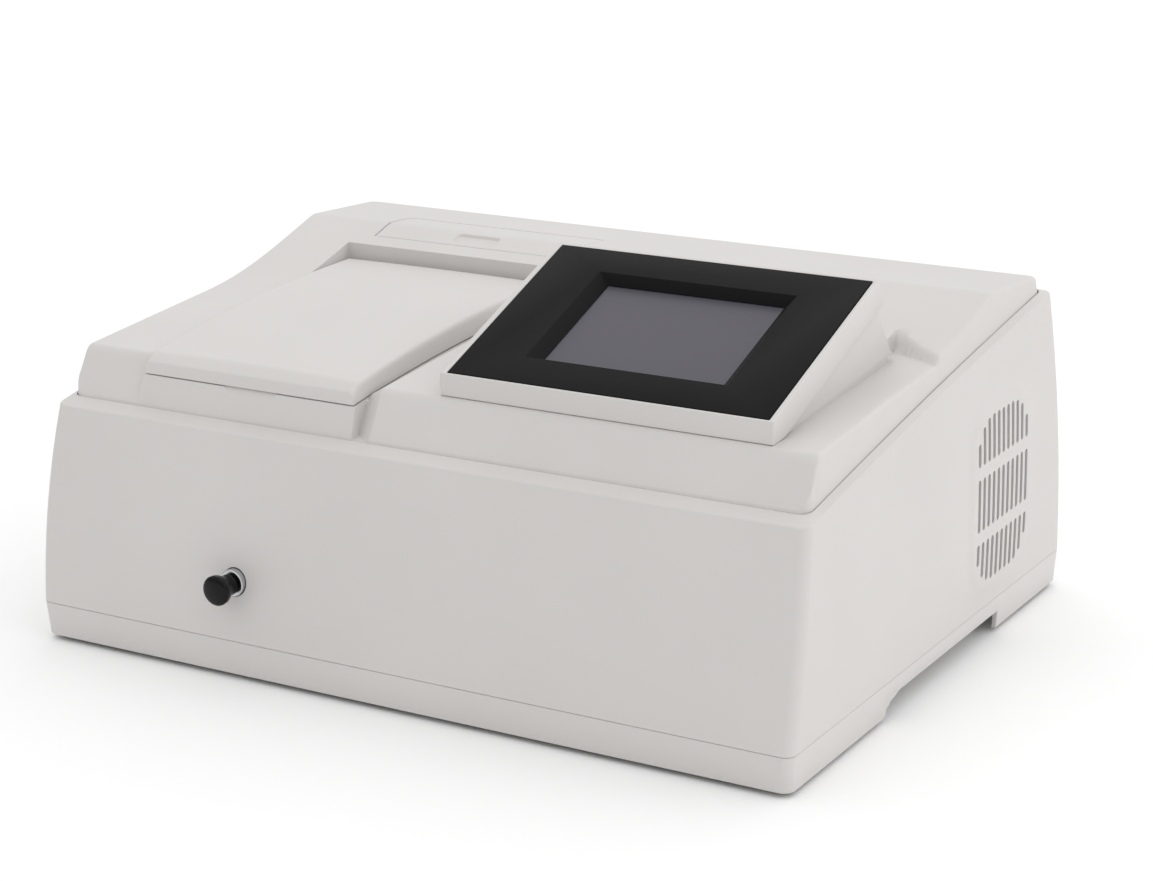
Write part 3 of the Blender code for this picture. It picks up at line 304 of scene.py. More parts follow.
def outline_piece(name, points, faces):
    """A piece from points and faces worked out by a rule."""
    mesh = bpy.data.meshes.new(name)
    mesh.from_pydata(points, [], faces)
    piece = bpy.data.objects.new(name, mesh)
    bpy.context.scene.collection.objects.link(piece)
    return edit(piece, face_out)


def across(name, profile, x):
    """A closed (y, z) profile extruded from one x to another."""
    count = len(profile)
    points = [(x[0], y, z) for y, z in profile] + [(x[1], y, z) for y, z in profile]
    faces = [list(range(count)), list(range(2 * count - 1, count - 1, -1))]
    faces += [(k, count + k, count + (k + 1) % count, (k + 1) % count) for k in range(count)]
    return outline_piece(name, points, faces)


def turned(name, profile, at, axis="Y", count=64):
    """Spin an open (radius, height) profile that starts and ends on the axis."""
    start_clean()
    bpy.ops.mesh.primitive_plane_add(size=1.0)
    piece = named(name)
    mesh = piece.data
    mesh.clear_geometry()
    mesh.from_pydata([(r, 0.0, h) for r, h in profile], [(k, k + 1) for k in range(len(profile) - 1)], [])
    edit(piece, lambda: bpy.ops.mesh.spin(steps=count, angle=2 * math.pi, center=(0, 0, 0), axis=(0, 0, 1)),
         weld, face_out)
    turn = {"X": Matrix.Rotation(math.radians(90), 4, "Y"), "Y": Matrix.Rotation(math.radians(-90), 4, "X"),
            "Z": Matrix.Identity(4)}[axis]
    mesh.transform(Matrix.Translation(at) @ turn)
    return piece


def arc(middle, radius, start, end, count=5):
    """Points of a round stretch, from one angle to another in degrees."""
    found = []
    for angle in steps(math.radians(start), math.radians(end), count):
        found.append((middle[0] + radius * math.cos(angle), middle[1] + radius * math.sin(angle)))
    return found


def merged_copy(node):
    """A CAD node's shape as a piece of its own, welded and with its flat faces whole."""
    source = frame["nodes"][node]
    piece = bpy.data.objects.new(node + "_shape", source.data.copy())
    bpy.context.scene.collection.objects.link(piece)
    piece.data.materials.clear()
    piece.data.transform(Matrix.Translation(-PLACE))
    return edit(piece, weld, lambda: bpy.ops.mesh.dissolve_limited(angle_limit=math.radians(1.0)))


# ================================================================ materials
def linear(code):
    """An sRGB hex colour as linear RGBA."""
    channels = [int(code[k:k + 2], 16) / 255 for k in (1, 3, 5)]
    return (*[c / 12.92 if c <= 0.04045 else ((c + 0.055) / 1.055) ** 2.4 for c in channels], 1.0)


def add(mat, kind, links=None, **settings):
    """Add a shader node with its settings, and links from {input: output socket}."""
    made = mat.node_tree.nodes.new(kind)
    for key, value in settings.items():
        if hasattr(made, key):
            setattr(made, key, value)
        else:
            made.inputs[key.replace("_", " ")].default_value = value
    for name, source in (links or {}).items():
        mat.node_tree.links.new(source, made.inputs[name])
    return made


def surface(name, roughness, metallic=0.0, ior=1.5, coat=0.0, specular=0.5):
    """An empty material with a Principled shader, and a mapping from object coordinates."""
    mat = bpy.data.materials.new(name)
    mat.use_nodes = True
    shader = mat.node_tree.nodes["Principled BSDF"]
    shader.inputs["Roughness"].default_value = roughness
    shader.inputs["Metallic"].default_value = metallic
    if metallic == 0.0:
        shader.inputs["IOR"].default_value = ior
        shader.inputs["Specular IOR Level"].default_value = specular
    if coat:
        shader.inputs["Coat Weight"].default_value = coat
        shader.inputs["Coat Roughness"].default_value = 0.06
    place = add(mat, "ShaderNodeTexCoord")
    return mat, shader, place.outputs["Object"]


def tint(mat, shader, factor, dark, light):
    """Colour that wanders between two hex values as the factor does."""
    ramp = add(mat, "ShaderNodeValToRGB", {"Fac": factor})
    ramp.color_ramp.elements[0].color = linear(dark)
    ramp.color_ramp.elements[1].color = linear(light)
    mat.node_tree.links.new(ramp.outputs["Color"], shader.inputs["Base Color"])
    return ramp


def grain(mat, shader, place, size, height, strength=0.3, detail=2.0):
    """Fine surface relief with a grain of the given size, in metres."""
    noise = add(mat, "ShaderNodeTexNoise", {"Vector": place}, Scale=1.0 / size, Detail=detail)
    bump = add(mat, "ShaderNodeBump", {"Height": noise.outputs["Fac"]}, Strength=strength, Distance=height)
    mat.node_tree.links.new(bump.outputs["Normal"], shader.inputs["Normal"])
    return noise


def vary_roughness(mat, shader, factor, low, high):
    spread = add(mat, "ShaderNodeMapRange", {"Value": factor}, To_Min=low, To_Max=high)
    mat.node_tree.links.new(spread.outputs["Result"], shader.inputs["Roughness"])


def moulded_plastic(name, dark, light, roughness, size, height, ior=1.53, coat=0.0, specular=0.5):
    """Injection-moulded plastic: even colour with a slow drift, and the mould's fine spark texture."""
    mat, shader, place = surface(name, roughness, ior=ior, coat=coat, specular=specular)
    slow = add(mat, "ShaderNodeTexNoise", {"Vector": place}, Scale=9.0, Detail=2.0)
    tint(mat, shader, slow.outputs["Fac"], dark, light)
    fine = grain(mat, shader, place, size, height)
    vary_roughness(mat, shader, fine.outputs["Fac"], roughness - 0.05, roughness + 0.07)
    return mat


def worked_metal(name, dark, light, roughness, stretch, line, height):
    """Metal with marks that run one way: stretch says how much finer they are along each axis."""
    mat, shader, place = surface(name, roughness, metallic=1.0)
    along = add(mat, "ShaderNodeMapping", {"Vector": place}, Scale=stretch)
    marks = add(mat, "ShaderNodeTexNoise", {"Vector": along.outputs["Vector"]}, Scale=1.0 / line, Detail=3.0)
    tint(mat, shader, marks.outputs["Fac"], dark, light)
    vary_roughness(mat, shader, marks.outputs["Fac"], roughness - 0.06, roughness + 0.10)
    bump = add(mat, "ShaderNodeBump", {"Height": marks.outputs["Fac"]}, Strength=0.2, Distance=height)
    mat.node_tree.links.new(bump.outputs["Normal"], shader.inputs["Normal"])
    return mat


def board_laminate():
    """Glass-fibre circuit board under green solder mask: copper runs show as paler lines 1.3 mm apart."""
    mat, shader, place = surface("green_solder_mask_board", 0.35, ior=1.5, coat=0.3)
    runs = add(mat, "ShaderNodeTexBrick", {"Vector": place}, Scale=1.0, Color1=linear("#1f5a37"),
               Color2=linear("#245f3c"), Mortar=linear("#3f8a5c"), Brick_Width=0.021, Row_Height=0.0026,
               Mortar_Size=0.0003)
    mat.node_tree.links.new(runs.outputs["Color"], shader.inputs["Base Color"])
    bump = add(mat, "ShaderNodeBump", {"Height": runs.outputs["Fac"]}, Strength=0.2, Distance=0.00004)
    mat.node_tree.links.new(bump.outputs["Normal"], shader.inputs["Normal"])
    return mat


def clear_glass():
    """Fused silica lamp bulb: clear, with a faint smoke from the lamp's burning."""
    mat, shader, place = surface("fused_silica_lamp", 0.04, ior=1.46)
    shader.inputs["Transmission Weight"].default_value = 0.85
    smoke = add(mat, "ShaderNodeTexNoise", {"Vector": place}, Scale=60.0, Detail=2.0)
    tint(mat, shader, smoke.outputs["Fac"], "#dfe3e6", "#f6f8f9")
    return mat


def coated_mirror():
    """Aluminium coated on glass: bright, with a very faint haze."""
    mat, shader, place = surface("aluminium_coated_mirror", 0.04, metallic=1.0)
    haze = add(mat, "ShaderNodeTexNoise", {"Vector": place}, Scale=150.0, Detail=3.0)
    tint(mat, shader, haze.outputs["Fac"], "#dfe2e6", "#eef0f2")
    vary_roughness(mat, shader, haze.outputs["Fac"], 0.02, 0.08)
    return mat


def switched_off_screen():
    """Resistive touch film over a dark 5.7-inch panel: slate grey, its anti-glare coat scatters light."""
    mat, shader, place = surface("anti_glare_touch_film", 0.30, ior=1.5, specular=0.3)
    drift = add(mat, "ShaderNodeTexNoise", {"Vector": place}, Scale=7.0, Detail=1.0)
    tint(mat, shader, drift.outputs["Fac"], "#4e4c54", "#56545d")
    fine = grain(mat, shader, place, 0.0005, 0.00001, strength=0.1)
    vary_roughness(mat, shader, fine.outputs["Fac"], 0.26, 0.36)
    return mat


# Off-white ABS: the mould's spark texture has a 0.4 mm grain, drawn at 0.8 mm so that it shows.
CASING = moulded_plastic("off_white_abs", "#cecbc9", "#d5d2d0", 0.46, 0.0008, 0.00004, specular=0.35)
# Matt black ABS of the screen surround, with a slightly coarser grain.
BEZEL = moulded_plastic("matt_black_abs", "#131314", "#181819", 0.52, 0.0010, 0.00006, specular=0.08)
# Phenolic knob, polished as it leaves the mould.
KNOB = moulded_plastic("polished_black_phenolic", "#060606", "#0b0b0b", 0.20, 0.0020, 0.00001, specular=0.18)
# Glass-filled nylon of switches, holders and fan.
NYLON = moulded_plastic("glass_filled_nylon", "#1b1b1c", "#262627", 0.55, 0.0009, 0.00008)
# Powder-coated black sheet round the light path, rough so that it scatters little.
POWDER = moulded_plastic("matt_black_powder_coat", "#161617", "#1f1f20", 0.80, 0.0007, 0.00010)
# Moulded rubber feet, dusty at the high points.
RUBBER = moulded_plastic("moulded_rubber", "#161616", "#222222", 0.88, 0.0012, 0.00012, ior=1.52)
# Ground and polished steel shafts and pins.
STEEL = worked_metal("ground_steel", "#b3b3b5", "#cfcfd1", 0.22, (1.0, 12.0, 1.0), 0.004, 0.00001)
# Rolled and brushed sheet steel, marks along x.
SHEET = worked_metal("brushed_sheet_steel", "#a3a5a6", "#c0c2c3", 0.34, (0.05, 1.0, 1.0), 0.0006, 0.00002)
# Cast aluminium, milled on its seats.
CAST = worked_metal("milled_cast_aluminium", "#a9aaac", "#c9cacc", 0.42, (1.0, 1.0, 1.0), 0.0015, 0.00005)
# Cut brass of the small pinion.
BRASS = worked_metal("cut_brass", "#a8843e", "#c9a355", 0.28, (1.0, 1.0, 8.0), 0.001, 0.00001)
BOARD = board_laminate()
LAMP = clear_glass()
MIRROR = coated_mirror()
SCREEN = switched_off_screen()

# slot of the record -> material
FINISHES = {
    "casing_white": CASING, "bezel_black": BEZEL, "screen_glass": SCREEN, "screen_panel": BEZEL,
    "knob_black": KNOB, "inner_black": POWDER, "black_plastic": NYLON, "bright_steel": STEEL,
    "plate_steel": SHEET, "cast_aluminium": CAST, "board_green": BOARD, "mirror_face": MIRROR,
    "lamp_glass": LAMP, "foot_rubber": RUBBER, "brass": BRASS,
}
SLOT_OF = {part["node"]: part["material_slot"] for part in frame["record"]["subparts"]}
BODY_OF = {node: body for body, nodes in frame["record"]["behaviour"]["bodies"].items() for node in nodes}


def settle(piece, node, *others, angle=32):
    """Finish a piece: place it, give it the material of its node's slot and its node's body, and let it stand
    for the node.
    """
    piece.data.transform(Matrix.Translation(PLACE))
    pick(piece)
    bpy.ops.object.shade_smooth_by_angle(angle=math.radians(angle))
    piece.data.materials.clear()
    piece.data.materials.append(FINISHES[SLOT_OF[node]])
    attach(piece, BODY_OF[node])
    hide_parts(node, *others)
    return piece


# ================================================================ outer pieces
def outline(half_x, front, back, height, corner, fractions, arc_steps=7):
    """A rounded rectangle from the front right corner round to the front left one, z = height(y)."""
    right = []
    for angle in steps(-math.pi / 2, 0.0, arc_steps):
        right.append((half_x - corner + corner * math.cos(angle), front + corner + corner * math.sin(angle)))
    right += [(half_x, lerp(front + corner, back - corner, t)) for t in fractions]
    for angle in steps(0.0, math.pi / 2, arc_steps):
        right.append((half_x - corner + corner * math.cos(angle), back - corner + corner * math.sin(angle)))
    points = [(x, y, height(y)) for x, y in right]
    return points + [(-x, y, height(y)) for x, y in reversed(right)]


def loft(name, rings, closed=False, caps=False):
    """Join outlines of the same number of points one to the next."""
    count = len(rings[0])
    points = [p for ring in rings for p in ring]
    pairs = [(k, k + 1) for k in range(len(rings) - 1)] + ([(len(rings) - 1, 0)] if closed else [])
    faces = []
    for low, high in pairs:
        for k in range(count):
            n = (k + 1) % count
            faces.append((low * count + k, low * count + n, high * count + n, high * count + k))
    if caps:
        for first in (0, (len(rings) - 1) * count):
            faces.append([first + k for k in range(count)])
    return outline_piece(name, points, faces)


def wall_outline(s, inset, fractions, drop=0.0):
    """The casing wall's outline at s = 0, the base seam, to s = 1, the rim."""
    bow = BULGE * 4 * s * (1 - s)
    half_x = lerp(SEAM_HALF_X, RIM_HALF_X, s) + bow - inset
    half_y = lerp(SEAM_HALF_Y, RIM_HALF_Y, s) + bow - inset
    stretch = RIM_HALF_Y / (half_y + inset)
    base = SEAM_Z + GAP / 2
    return outline(half_x, -half_y, half_y, lambda y: base + s * (rim_z(y * stretch) - drop - base),
                   CORNER - inset / 2, fractions)


def slot_cutter():
    """All the vent's slots as one tool, each with round ends."""
    points, faces = [], []
    half = SLOT_WIDTH / 2
    for column in range(SLOT_COLUMNS):
        y = VENT_Y + (column - (SLOT_COLUMNS - 1) / 2) * SLOT_PITCH
        past = max(abs(y - VENT_Y) - (VENT_HALF_Y - VENT_CORNER), 0.0)
        drop = VENT_CORNER - math.sqrt(VENT_CORNER ** 2 - past ** 2)
        for row, (low, high) in enumerate(SLOT_ROWS):
            low += drop if row == 0 else 0.0
            high -= drop if row == 2 else 0.0
            side = arc((y, high - half), half, 0, 180, 6) + arc((y, low + half), half, 180, 360, 6)
            first, count = len(points), len(side)
            points += [(0.250, a, b) for a, b in side] + [(0.280, a, b) for a, b in side]
            faces += [[first + k for k in range(count)], [first + count + k for k in reversed(range(count))]]
            for k in range(count):
                n = (k + 1) % count
                faces.append((first + k, first + count + k, first + count + n, first + n))
    return outline_piece("slots", points, faces)


def main_casing():
    """Bowed walls with a soft rim, the ledge, the raised vent pad with its slots, and the rear opening."""
    middle = (VENT_Y + SEAM_HALF_Y) / (2 * SEAM_HALF_Y)
    reach = (VENT_HALF_Y + PAD_GROW + PAD_SOFT) / (2 * SEAM_HALF_Y)
    fractions = lines(0.02, 0.98, 0.030, [(middle - reach, middle + reach, 0.0055)])
    heights = lines(0.0, 1.0, 0.05, [(0.02, 0.90, 0.018)])
    outer = []
    for s in heights:
        ring = wall_outline(s, 0.0, fractions, RIM_RADIUS)
        placed = []
        for x, y, z in ring:
            if x > 0.25:
                gap = box_distance(y - VENT_Y, z - VENT_Z, VENT_HALF_Y + PAD_GROW, VENT_HALF_Z + PAD_GROW,
                                   VENT_CORNER + PAD_GROW)
                x += PAD_RISE * (1 - ease(gap, -PAD_SOFT / 2, PAD_SOFT / 2))
            placed.append((x, y, z))
        outer.append(placed)
    rim = []
    for angle in steps(0.0, math.pi / 2, 4)[1:]:
        inward = RIM_RADIUS * (1 - math.cos(angle))
        lift = RIM_RADIUS * math.sin(angle)
        rim.append(outline(RIM_HALF_X - inward, -RIM_HALF_Y + inward, RIM_HALF_Y - inward,
                           lambda y, lift=lift: rim_z(y) - RIM_RADIUS + lift, CORNER - inward, fractions))
    ledge = [outline(FOOT_HALF_X + GAP, FOOT_FRONT - GAP, FOOT_BACK + GAP,
                     lambda y, drop=drop: rim_z(y) + LEDGE_RISE - drop, CORNER, fractions)
             for drop in (0.0, WALL)]
    inner = [wall_outline(s, WALL, fractions, RIM_RADIUS + WALL) for s in (1.0, 0.8, 0.6, 0.4, 0.2, 0.0)]
    piece = loft("main_casing_shell", outer + rim + ledge + inner, closed=True)
    opening = block("opening", CONNECTOR_X, (0.150, 0.250), CONNECTOR_Z)
    apply(opening, "BEVEL", width=0.002, segments=3)
    bore = [(0, 0), (0.009, 0), (0.009, 0.05), (0, 0.05)]
    hole = turned("rod_hole", bore, (KNOB_X, -0.22, KNOB_Z), count=48)
    cut(piece, slot_cutter(), opening, hole)
    settle(piece, "main_casing", angle=28)


def base_tray():
    """Shallow tray with a soft lower edge, a hollow below and a hand-hold in each side."""
    top = SEAM_Z - GAP / 2
    edge = 0.0010

    def level(z, inset):
        t = z / SEAM_Z
        half_x = lerp(BOTTOM_HALF_X, SEAM_HALF_X, t) - inset
        half_y = lerp(BOTTOM_HALF_Y, SEAM_HALF_Y, t) - inset
        return outline(half_x, -half_y, half_y, lambda y: z, CORNER, [0.25, 0.5, 0.75])

    rings = [level(0.0, edge), level(edge * 0.3, edge * 0.3), level(edge, 0.0)]
    rings += [level(top - 0.0006, 0.0), level(top - 0.0002, 0.0002), level(top, 0.0006)]
    piece = loft("base_tray_shell", rings, caps=True)
    below = loft("below", [level(-0.01, WALL), level(TRAY_FLOOR, WALL)], caps=True)
    hold = [(-0.0740, -0.01), (-0.0740, 0.0008)]
    hold += arc((-0.0640, 0.0008), 0.0100, 180, 150, 3)[1:]
    hold += [(-0.0697, 0.0064), (-0.0675, 0.0086)]
    hold += arc((-0.0540, 0.0020), 0.0098, 130, 90, 5)[1:]
    hold += [(0.0946, 0.0118), (0.0946, -0.01)]
    above = loft("above", [level(TRAY_FLOOR + 0.0025, WALL), level(top + 0.01, WALL)], caps=True)
    cut(piece, below, above, across("hold", hold, (-0.30, 0.30)))
    soften(piece, 0.0005, 2, 40)
    settle(piece, "base_tray")


def cover_height(x, y):
    """Height of the top cover anywhere inside its outline."""
    slope = (DECK_FRONT_Z - 0.1524) / (TOP_FRONT - FOOT_FRONT)
    ledge = rim_z(y) + LEDGE_RISE
    deck = deck_z(y)
    deck += 0.0014 * ease(x, 0.236, 0.252) * ease(y, -0.105, -0.060) * (1 - ease(y, 0.000, 0.050))
    front = DECK_FRONT_Z + slope * (y - TOP_FRONT)
    valley = GUTTER_DEPTH * (1 - (x - GUTTER_X[0]) / (GUTTER_X[1] - GUTTER_X[0]))
    valley = max(valley, 0.0) * ease(x, GUTTER_X[0] - 0.0009, GUTTER_X[0]) * (1 - ease(y, 0.030, 0.062))
    steep = math.hypot(1.0, slope)
    shell = soft_min(deck - valley, front - valley * steep, 0.0050)
    if x > 0.213:
        floor = soft_min(shell, dish_z(x, y), 0.0022)
        start = lerp(0.2258, 0.2135, ease(y, -0.1400, -0.1300))
        shell = lerp(shell, floor, ease(x, start, start + 0.0025))
    if HATCH_X[0] - 0.001 < x < HATCH_X[1] + 0.001 and y > HATCH_Y[0] - 0.001:
        gap = hatch_distance(x, y) - 0.0004
        shell -= (HATCH_THICK + 3 * GAP) * (1 - ease(gap, -0.0002, 0.0002))
    in_box = sample_box_height(x, y)
    soft = lerp(0.0050, 0.0006, ease(y, -0.1605, -0.1560))
    inside = ease(x, POCKET_X[0] - soft, POCKET_X[0]) * (1 - ease(x, POCKET_X[1], POCKET_X[1] + 0.0007))
    inside *= 1 - ease(y, POCKET_BACK - 0.0004, POCKET_BACK + 0.0006)
    height = lerp(shell, in_box, inside)
    return max(height, ledge) if y < -0.10 else height


def sample_box_height(x, y):
    """The sample box: its steep front wall, the notch for a finger, and the shelf under the lid."""
    wall = 0.1530 + 3.4 * (y + 0.1660)
    shelf = lid_foot_z(y) - 0.0009
    height = soft_min(wall, shelf, 0.0008)
    notch = ease(x, NOTCH_X[0], NOTCH_X[0] + 0.0015) * (1 - ease(x, NOTCH_X[1] - 0.0015, NOTCH_X[1]))
    scooped = min(height, 0.1655 + 1.60 * (y + 0.1625))
    return lerp(height, scooped, notch)


def hatch_distance(x, y):
    """Distance outside the hatch's outline: the rear left corner is round, the others nearly square."""
    middle_x, middle_y = sum(HATCH_X) / 2, sum(HATCH_Y) / 2
    half_x, half_y = (HATCH_X[1] - HATCH_X[0]) / 2, (HATCH_Y[1] - HATCH_Y[0]) / 2
    radius = HATCH_CORNER if x < middle_x and y > middle_y else 0.0003
    return box_distance(x - middle_x, y - middle_y, half_x, half_y, radius)


def rounded_place(x, y, half_x, front, back, radius):
    """Moves a point of a rectangle inwards so that the outline gets round corners; gives its depth too."""
    side = 1 if x > 0 else -1
    dx = abs(x) - (half_x - radius)
    dy = (front + radius) - y if y < 0 else y - (back - radius)
    edge = min(half_x - abs(x), y - front, back - y)
    if dx > 0 and dy > 0:
        shrink = max(dx, dy) / math.hypot(dx, dy)
        x = side * (half_x - radius + dx * shrink)
        y = (front + radius - dy * shrink) if y < 0 else (back - radius + dy * shrink)
        edge = radius - math.hypot(dx, dy) * shrink
    return x, y, edge


def round_over(edge, radius):
    """How far a soft edge has dropped at a distance from the outline."""
    if edge >= radius:
        return 0.0
    return radius - math.sqrt(max(radius * radius - (radius - edge) ** 2, 0.0))


def top_cover():
    """One moulded shell: front slope, deck with its S rise, gutter, dish, lid pocket and hatch seat."""
    radius = 0.0028

    def place(x, y):
        x, y, edge = rounded_place(x, y, TOP_HALF_X, FOOT_FRONT, TOP_BACK, CORNER)
        at_front = ease(y, FOOT_FRONT + 0.0005, TOP_FRONT)
        side = min(edge, TOP_HALF_X - abs(x)) if y < TOP_FRONT else edge
        drop = round_over(max(side, 0.0), radius) * (at_front if y < TOP_FRONT else 1.0)
        return x, y, cover_height(x, y) - drop

    def foot(p):
        t = ease(p.y, 0.10, TOP_BACK)
        x = p.x * (FOOT_HALF_X / TOP_HALF_X)
        y = p.y + (FOOT_BACK - TOP_BACK) * t
        return Vector((x, y, rim_z(p.y) + LEDGE_RISE - 0.006))

    xs = lines(-TOP_HALF_X, TOP_HALF_X, 0.0065, [
        (-TOP_HALF_X, -TOP_HALF_X + 0.0030, 0.0005), (TOP_HALF_X - 0.0030, TOP_HALF_X, 0.0005),
        (-0.2086, -0.2024, 0.0004), around(OPENING_X[0], 0.0005, 0.0005), around(HATCH_X[0], 0.0010, 0.0002),
        around(NOTCH_X[0] + 0.0007, 0.0011, 0.0004), around(NOTCH_X[1] - 0.0007, 0.0011, 0.0004),
        around(OPENING_X[1], 0.0005, 0.0005), (-0.0450, -0.0428, 0.0002), (-0.0420, -0.0300, 0.0010),
        around(HATCH_X[1], 0.0010, 0.0002), (0.2130, 0.2170, 0.0008), (0.2250, 0.2290, 0.0005),
        (HATCH_X[0] + 0.0010, HATCH_X[0] + 0.0030, 0.0010),
        (HATCH_X[1] - 0.0030, HATCH_X[1] - 0.0010, 0.0010),
        (0.2300, 0.2520, 0.0016)])
    ys = lines(FOOT_FRONT, TOP_BACK, 0.0055, [
        (FOOT_FRONT, -0.1560, 0.0004), (-0.1555, -0.1440, 0.0008), (S_START, 0.0600, 0.0030),
        around(OPENING_Y[0], 0.0005, 0.0005), around(OPENING_Y[1], 0.0005, 0.0005),
        (POCKET_BACK - 0.0008, POCKET_BACK + 0.0012, 0.0002), around(HATCH_Y[0], 0.0010, 0.0002),
        (HATCH_Y[0] + 0.0010, HATCH_Y[0] + 0.0030, 0.0010),
        (0.0800, 0.1050, 0.0025), (0.1085, 0.1180, 0.0010),
        around(HATCH_Y[1], 0.0010, 0.0002),
        (TOP_BACK - 0.0030, TOP_BACK, 0.0005)])
    piece = sheet_of("top_cover_shell", xs, ys, place)
    remove_faces(piece, lambda c: OPENING_X[0] < c.x < OPENING_X[1] and OPENING_Y[0] < c.y < OPENING_Y[1])
    remove_faces(piece, lambda c: HATCH_X[0] + HATCH_SEAT < c.x < HATCH_X[1] - HATCH_SEAT
                 and HATCH_Y[0] + HATCH_SEAT < c.y < HATCH_Y[1] - HATCH_SEAT)

    def foot_or_stay(p):
        on_edge = (abs(abs(p.x) - TOP_HALF_X) < CORNER
                   or p.y < FOOT_FRONT + CORNER or p.y > TOP_BACK - CORNER)
        return foot(p) if on_edge else Vector((p.x, p.y, p.z - 0.0005))

    skirt(piece, foot_or_stay)
    apply(piece, "SOLIDIFY", thickness=SHELL, offset=-1.0)
    edit(piece, face_out)
    settle(piece, "top_cover", angle=36)


def sample_lid():
    """Crowned lid: bevelled lip in front, soft side edges, hollow below."""
    middle = sum(LID_X) / 2
    half = (LID_X[1] - LID_X[0]) / 2

    def place(x, y):
        edge = min(half - abs(x - middle), LID_Y[1] - y)
        crown = 0.0006 * (1 - ((x - middle) / half) ** 2)
        bevel = lid_z(LID_Y[0] + 0.006) - 0.0048 + 0.72 * (y - LID_Y[0])
        z = soft_min(lid_z(y) + crown, bevel, 0.0012)
        z -= round_over(max(edge, 0.0), LID_EDGE)
        z -= round_over(max(y - LID_Y[0], 0.0), 0.0008)
        return x, y, z

    def foot(p):
        back_foot = HINGE_Z - 0.0054
        z = lerp(lid_foot_z(p.y), back_foot, ease(p.y, HINGE_Y - 0.008, HINGE_Y - 0.003))
        return Vector((p.x, p.y, z))

    xs = lines(*LID_X, 0.006, [(LID_X[0], LID_X[0] + LID_EDGE, 0.0004),
                               (LID_X[1] - LID_EDGE, LID_X[1], 0.0004)])
    ys = lines(*LID_Y, 0.006, [(LID_Y[0], LID_Y[0] + 0.0010, 0.00025),
                               (LID_Y[0] + 0.0014, LID_Y[0] + 0.0100, 0.0008),
                               (LID_Y[1] - LID_EDGE, LID_Y[1], 0.0005)])
    piece = skirt(sheet_of("sample_lid_shell", xs, ys, place), foot)
    apply(piece, "SOLIDIFY", thickness=0.0016, offset=-1.0)
    edit(piece, face_out)
    bore = [(0, 0), (PIN_BORE, 0), (PIN_BORE, 0.18), (0, 0.18)]
    cut(piece, turned("pin_bore", bore, (LID_X[0] - 0.01, HINGE_Y, HINGE_Z), "X", 32))
    settle(piece, "sample_lid", angle=34)


def rear_hatch():
    """Flush hatch with a soft outline and a scooped finger grip."""
    middle_x, middle_y = sum(GRIP_X) / 2, sum(GRIP_Y) / 2
    half_x, half_y = (GRIP_X[1] - GRIP_X[0]) / 2, (GRIP_Y[1] - GRIP_Y[0]) / 2

    def place(x, y):
        round_x, round_y = HATCH_X[0] + HATCH_CORNER, HATCH_Y[1] - HATCH_CORNER
        dx, dy = round_x - x, y - round_y
        if dx > 0 and dy > 0:
            shrink = max(dx, dy) / math.hypot(dx, dy)
            x, y = round_x - dx * shrink, round_y + dy * shrink
        drop = round_over(max(-hatch_distance(x, y), 0.0), 0.0005)
        scoop = 1 - ease(box_distance(x - middle_x, y - middle_y, half_x, half_y, 0.003), -0.0012, 0.0)
        return x, y, deck_z(y) - drop - 0.0016 * scoop

    xs = lines(*HATCH_X, 0.005, [(HATCH_X[0], HATCH_X[0] + 0.0006, 0.0002),
                                 (HATCH_X[0] + 0.001, HATCH_X[0] + 0.010, 0.0010),
                                 (HATCH_X[1] - 0.0006, HATCH_X[1], 0.0002),
                                 (GRIP_X[0], GRIP_X[0] + 0.0045, 0.0004),
                                 (GRIP_X[1] - 0.0045, GRIP_X[1], 0.0004)])
    ys = lines(*HATCH_Y, 0.004, [(HATCH_Y[0], HATCH_Y[0] + 0.0006, 0.0002), (GRIP_Y[0], GRIP_Y[1], 0.0005),
                                 (HATCH_Y[1] - 0.010, HATCH_Y[1] - 0.001, 0.0010),
                                 (HATCH_Y[1] - 0.0006, HATCH_Y[1], 0.0002)])
    piece = sheet_of("rear_hatch_panel", xs, ys, place)
    apply(piece, "SOLIDIFY", thickness=HATCH_THICK, offset=-1.0)
    edit(piece, face_out)
    settle(piece, "rear_hatch", angle=36)


# ================================================================ display
def on_slope(piece):
    """Lay a piece made at (x, way up the slope, height above the bezel) on the display's slope."""
    piece.data.transform(Matrix.Translation(BEZEL_AT) @ Matrix.Rotation(TILT, 4, "X"))
    return piece


def slope_point(u, h):
    c, s = math.cos(TILT), math.sin(TILT)
    return BEZEL_AT.y + u * c - h * s, BEZEL_AT.z + u * s + h * c


def grown(span, by):
    return span[0] - by, span[1] + by


def window_cutter():
    """Widens from the screen to the bezel's face, so that the window has sloping sides."""
    points, faces = [], [(0, 1, 2, 3), (7, 6, 5, 4)]
    for x, u, h in ((LCD_X, LCD_U, -BEZEL_DEPTH - 0.001), (WINDOW_X, WINDOW_U, 0.0006)):
        points += [(x[0], u[0], h), (x[1], u[0], h), (x[1], u[1], h), (x[0], u[1], h)]
    faces += [(k, (k + 1) % 4, 4 + (k + 1) % 4, 4 + k) for k in range(4)]
    return outline_piece("window", points, faces)


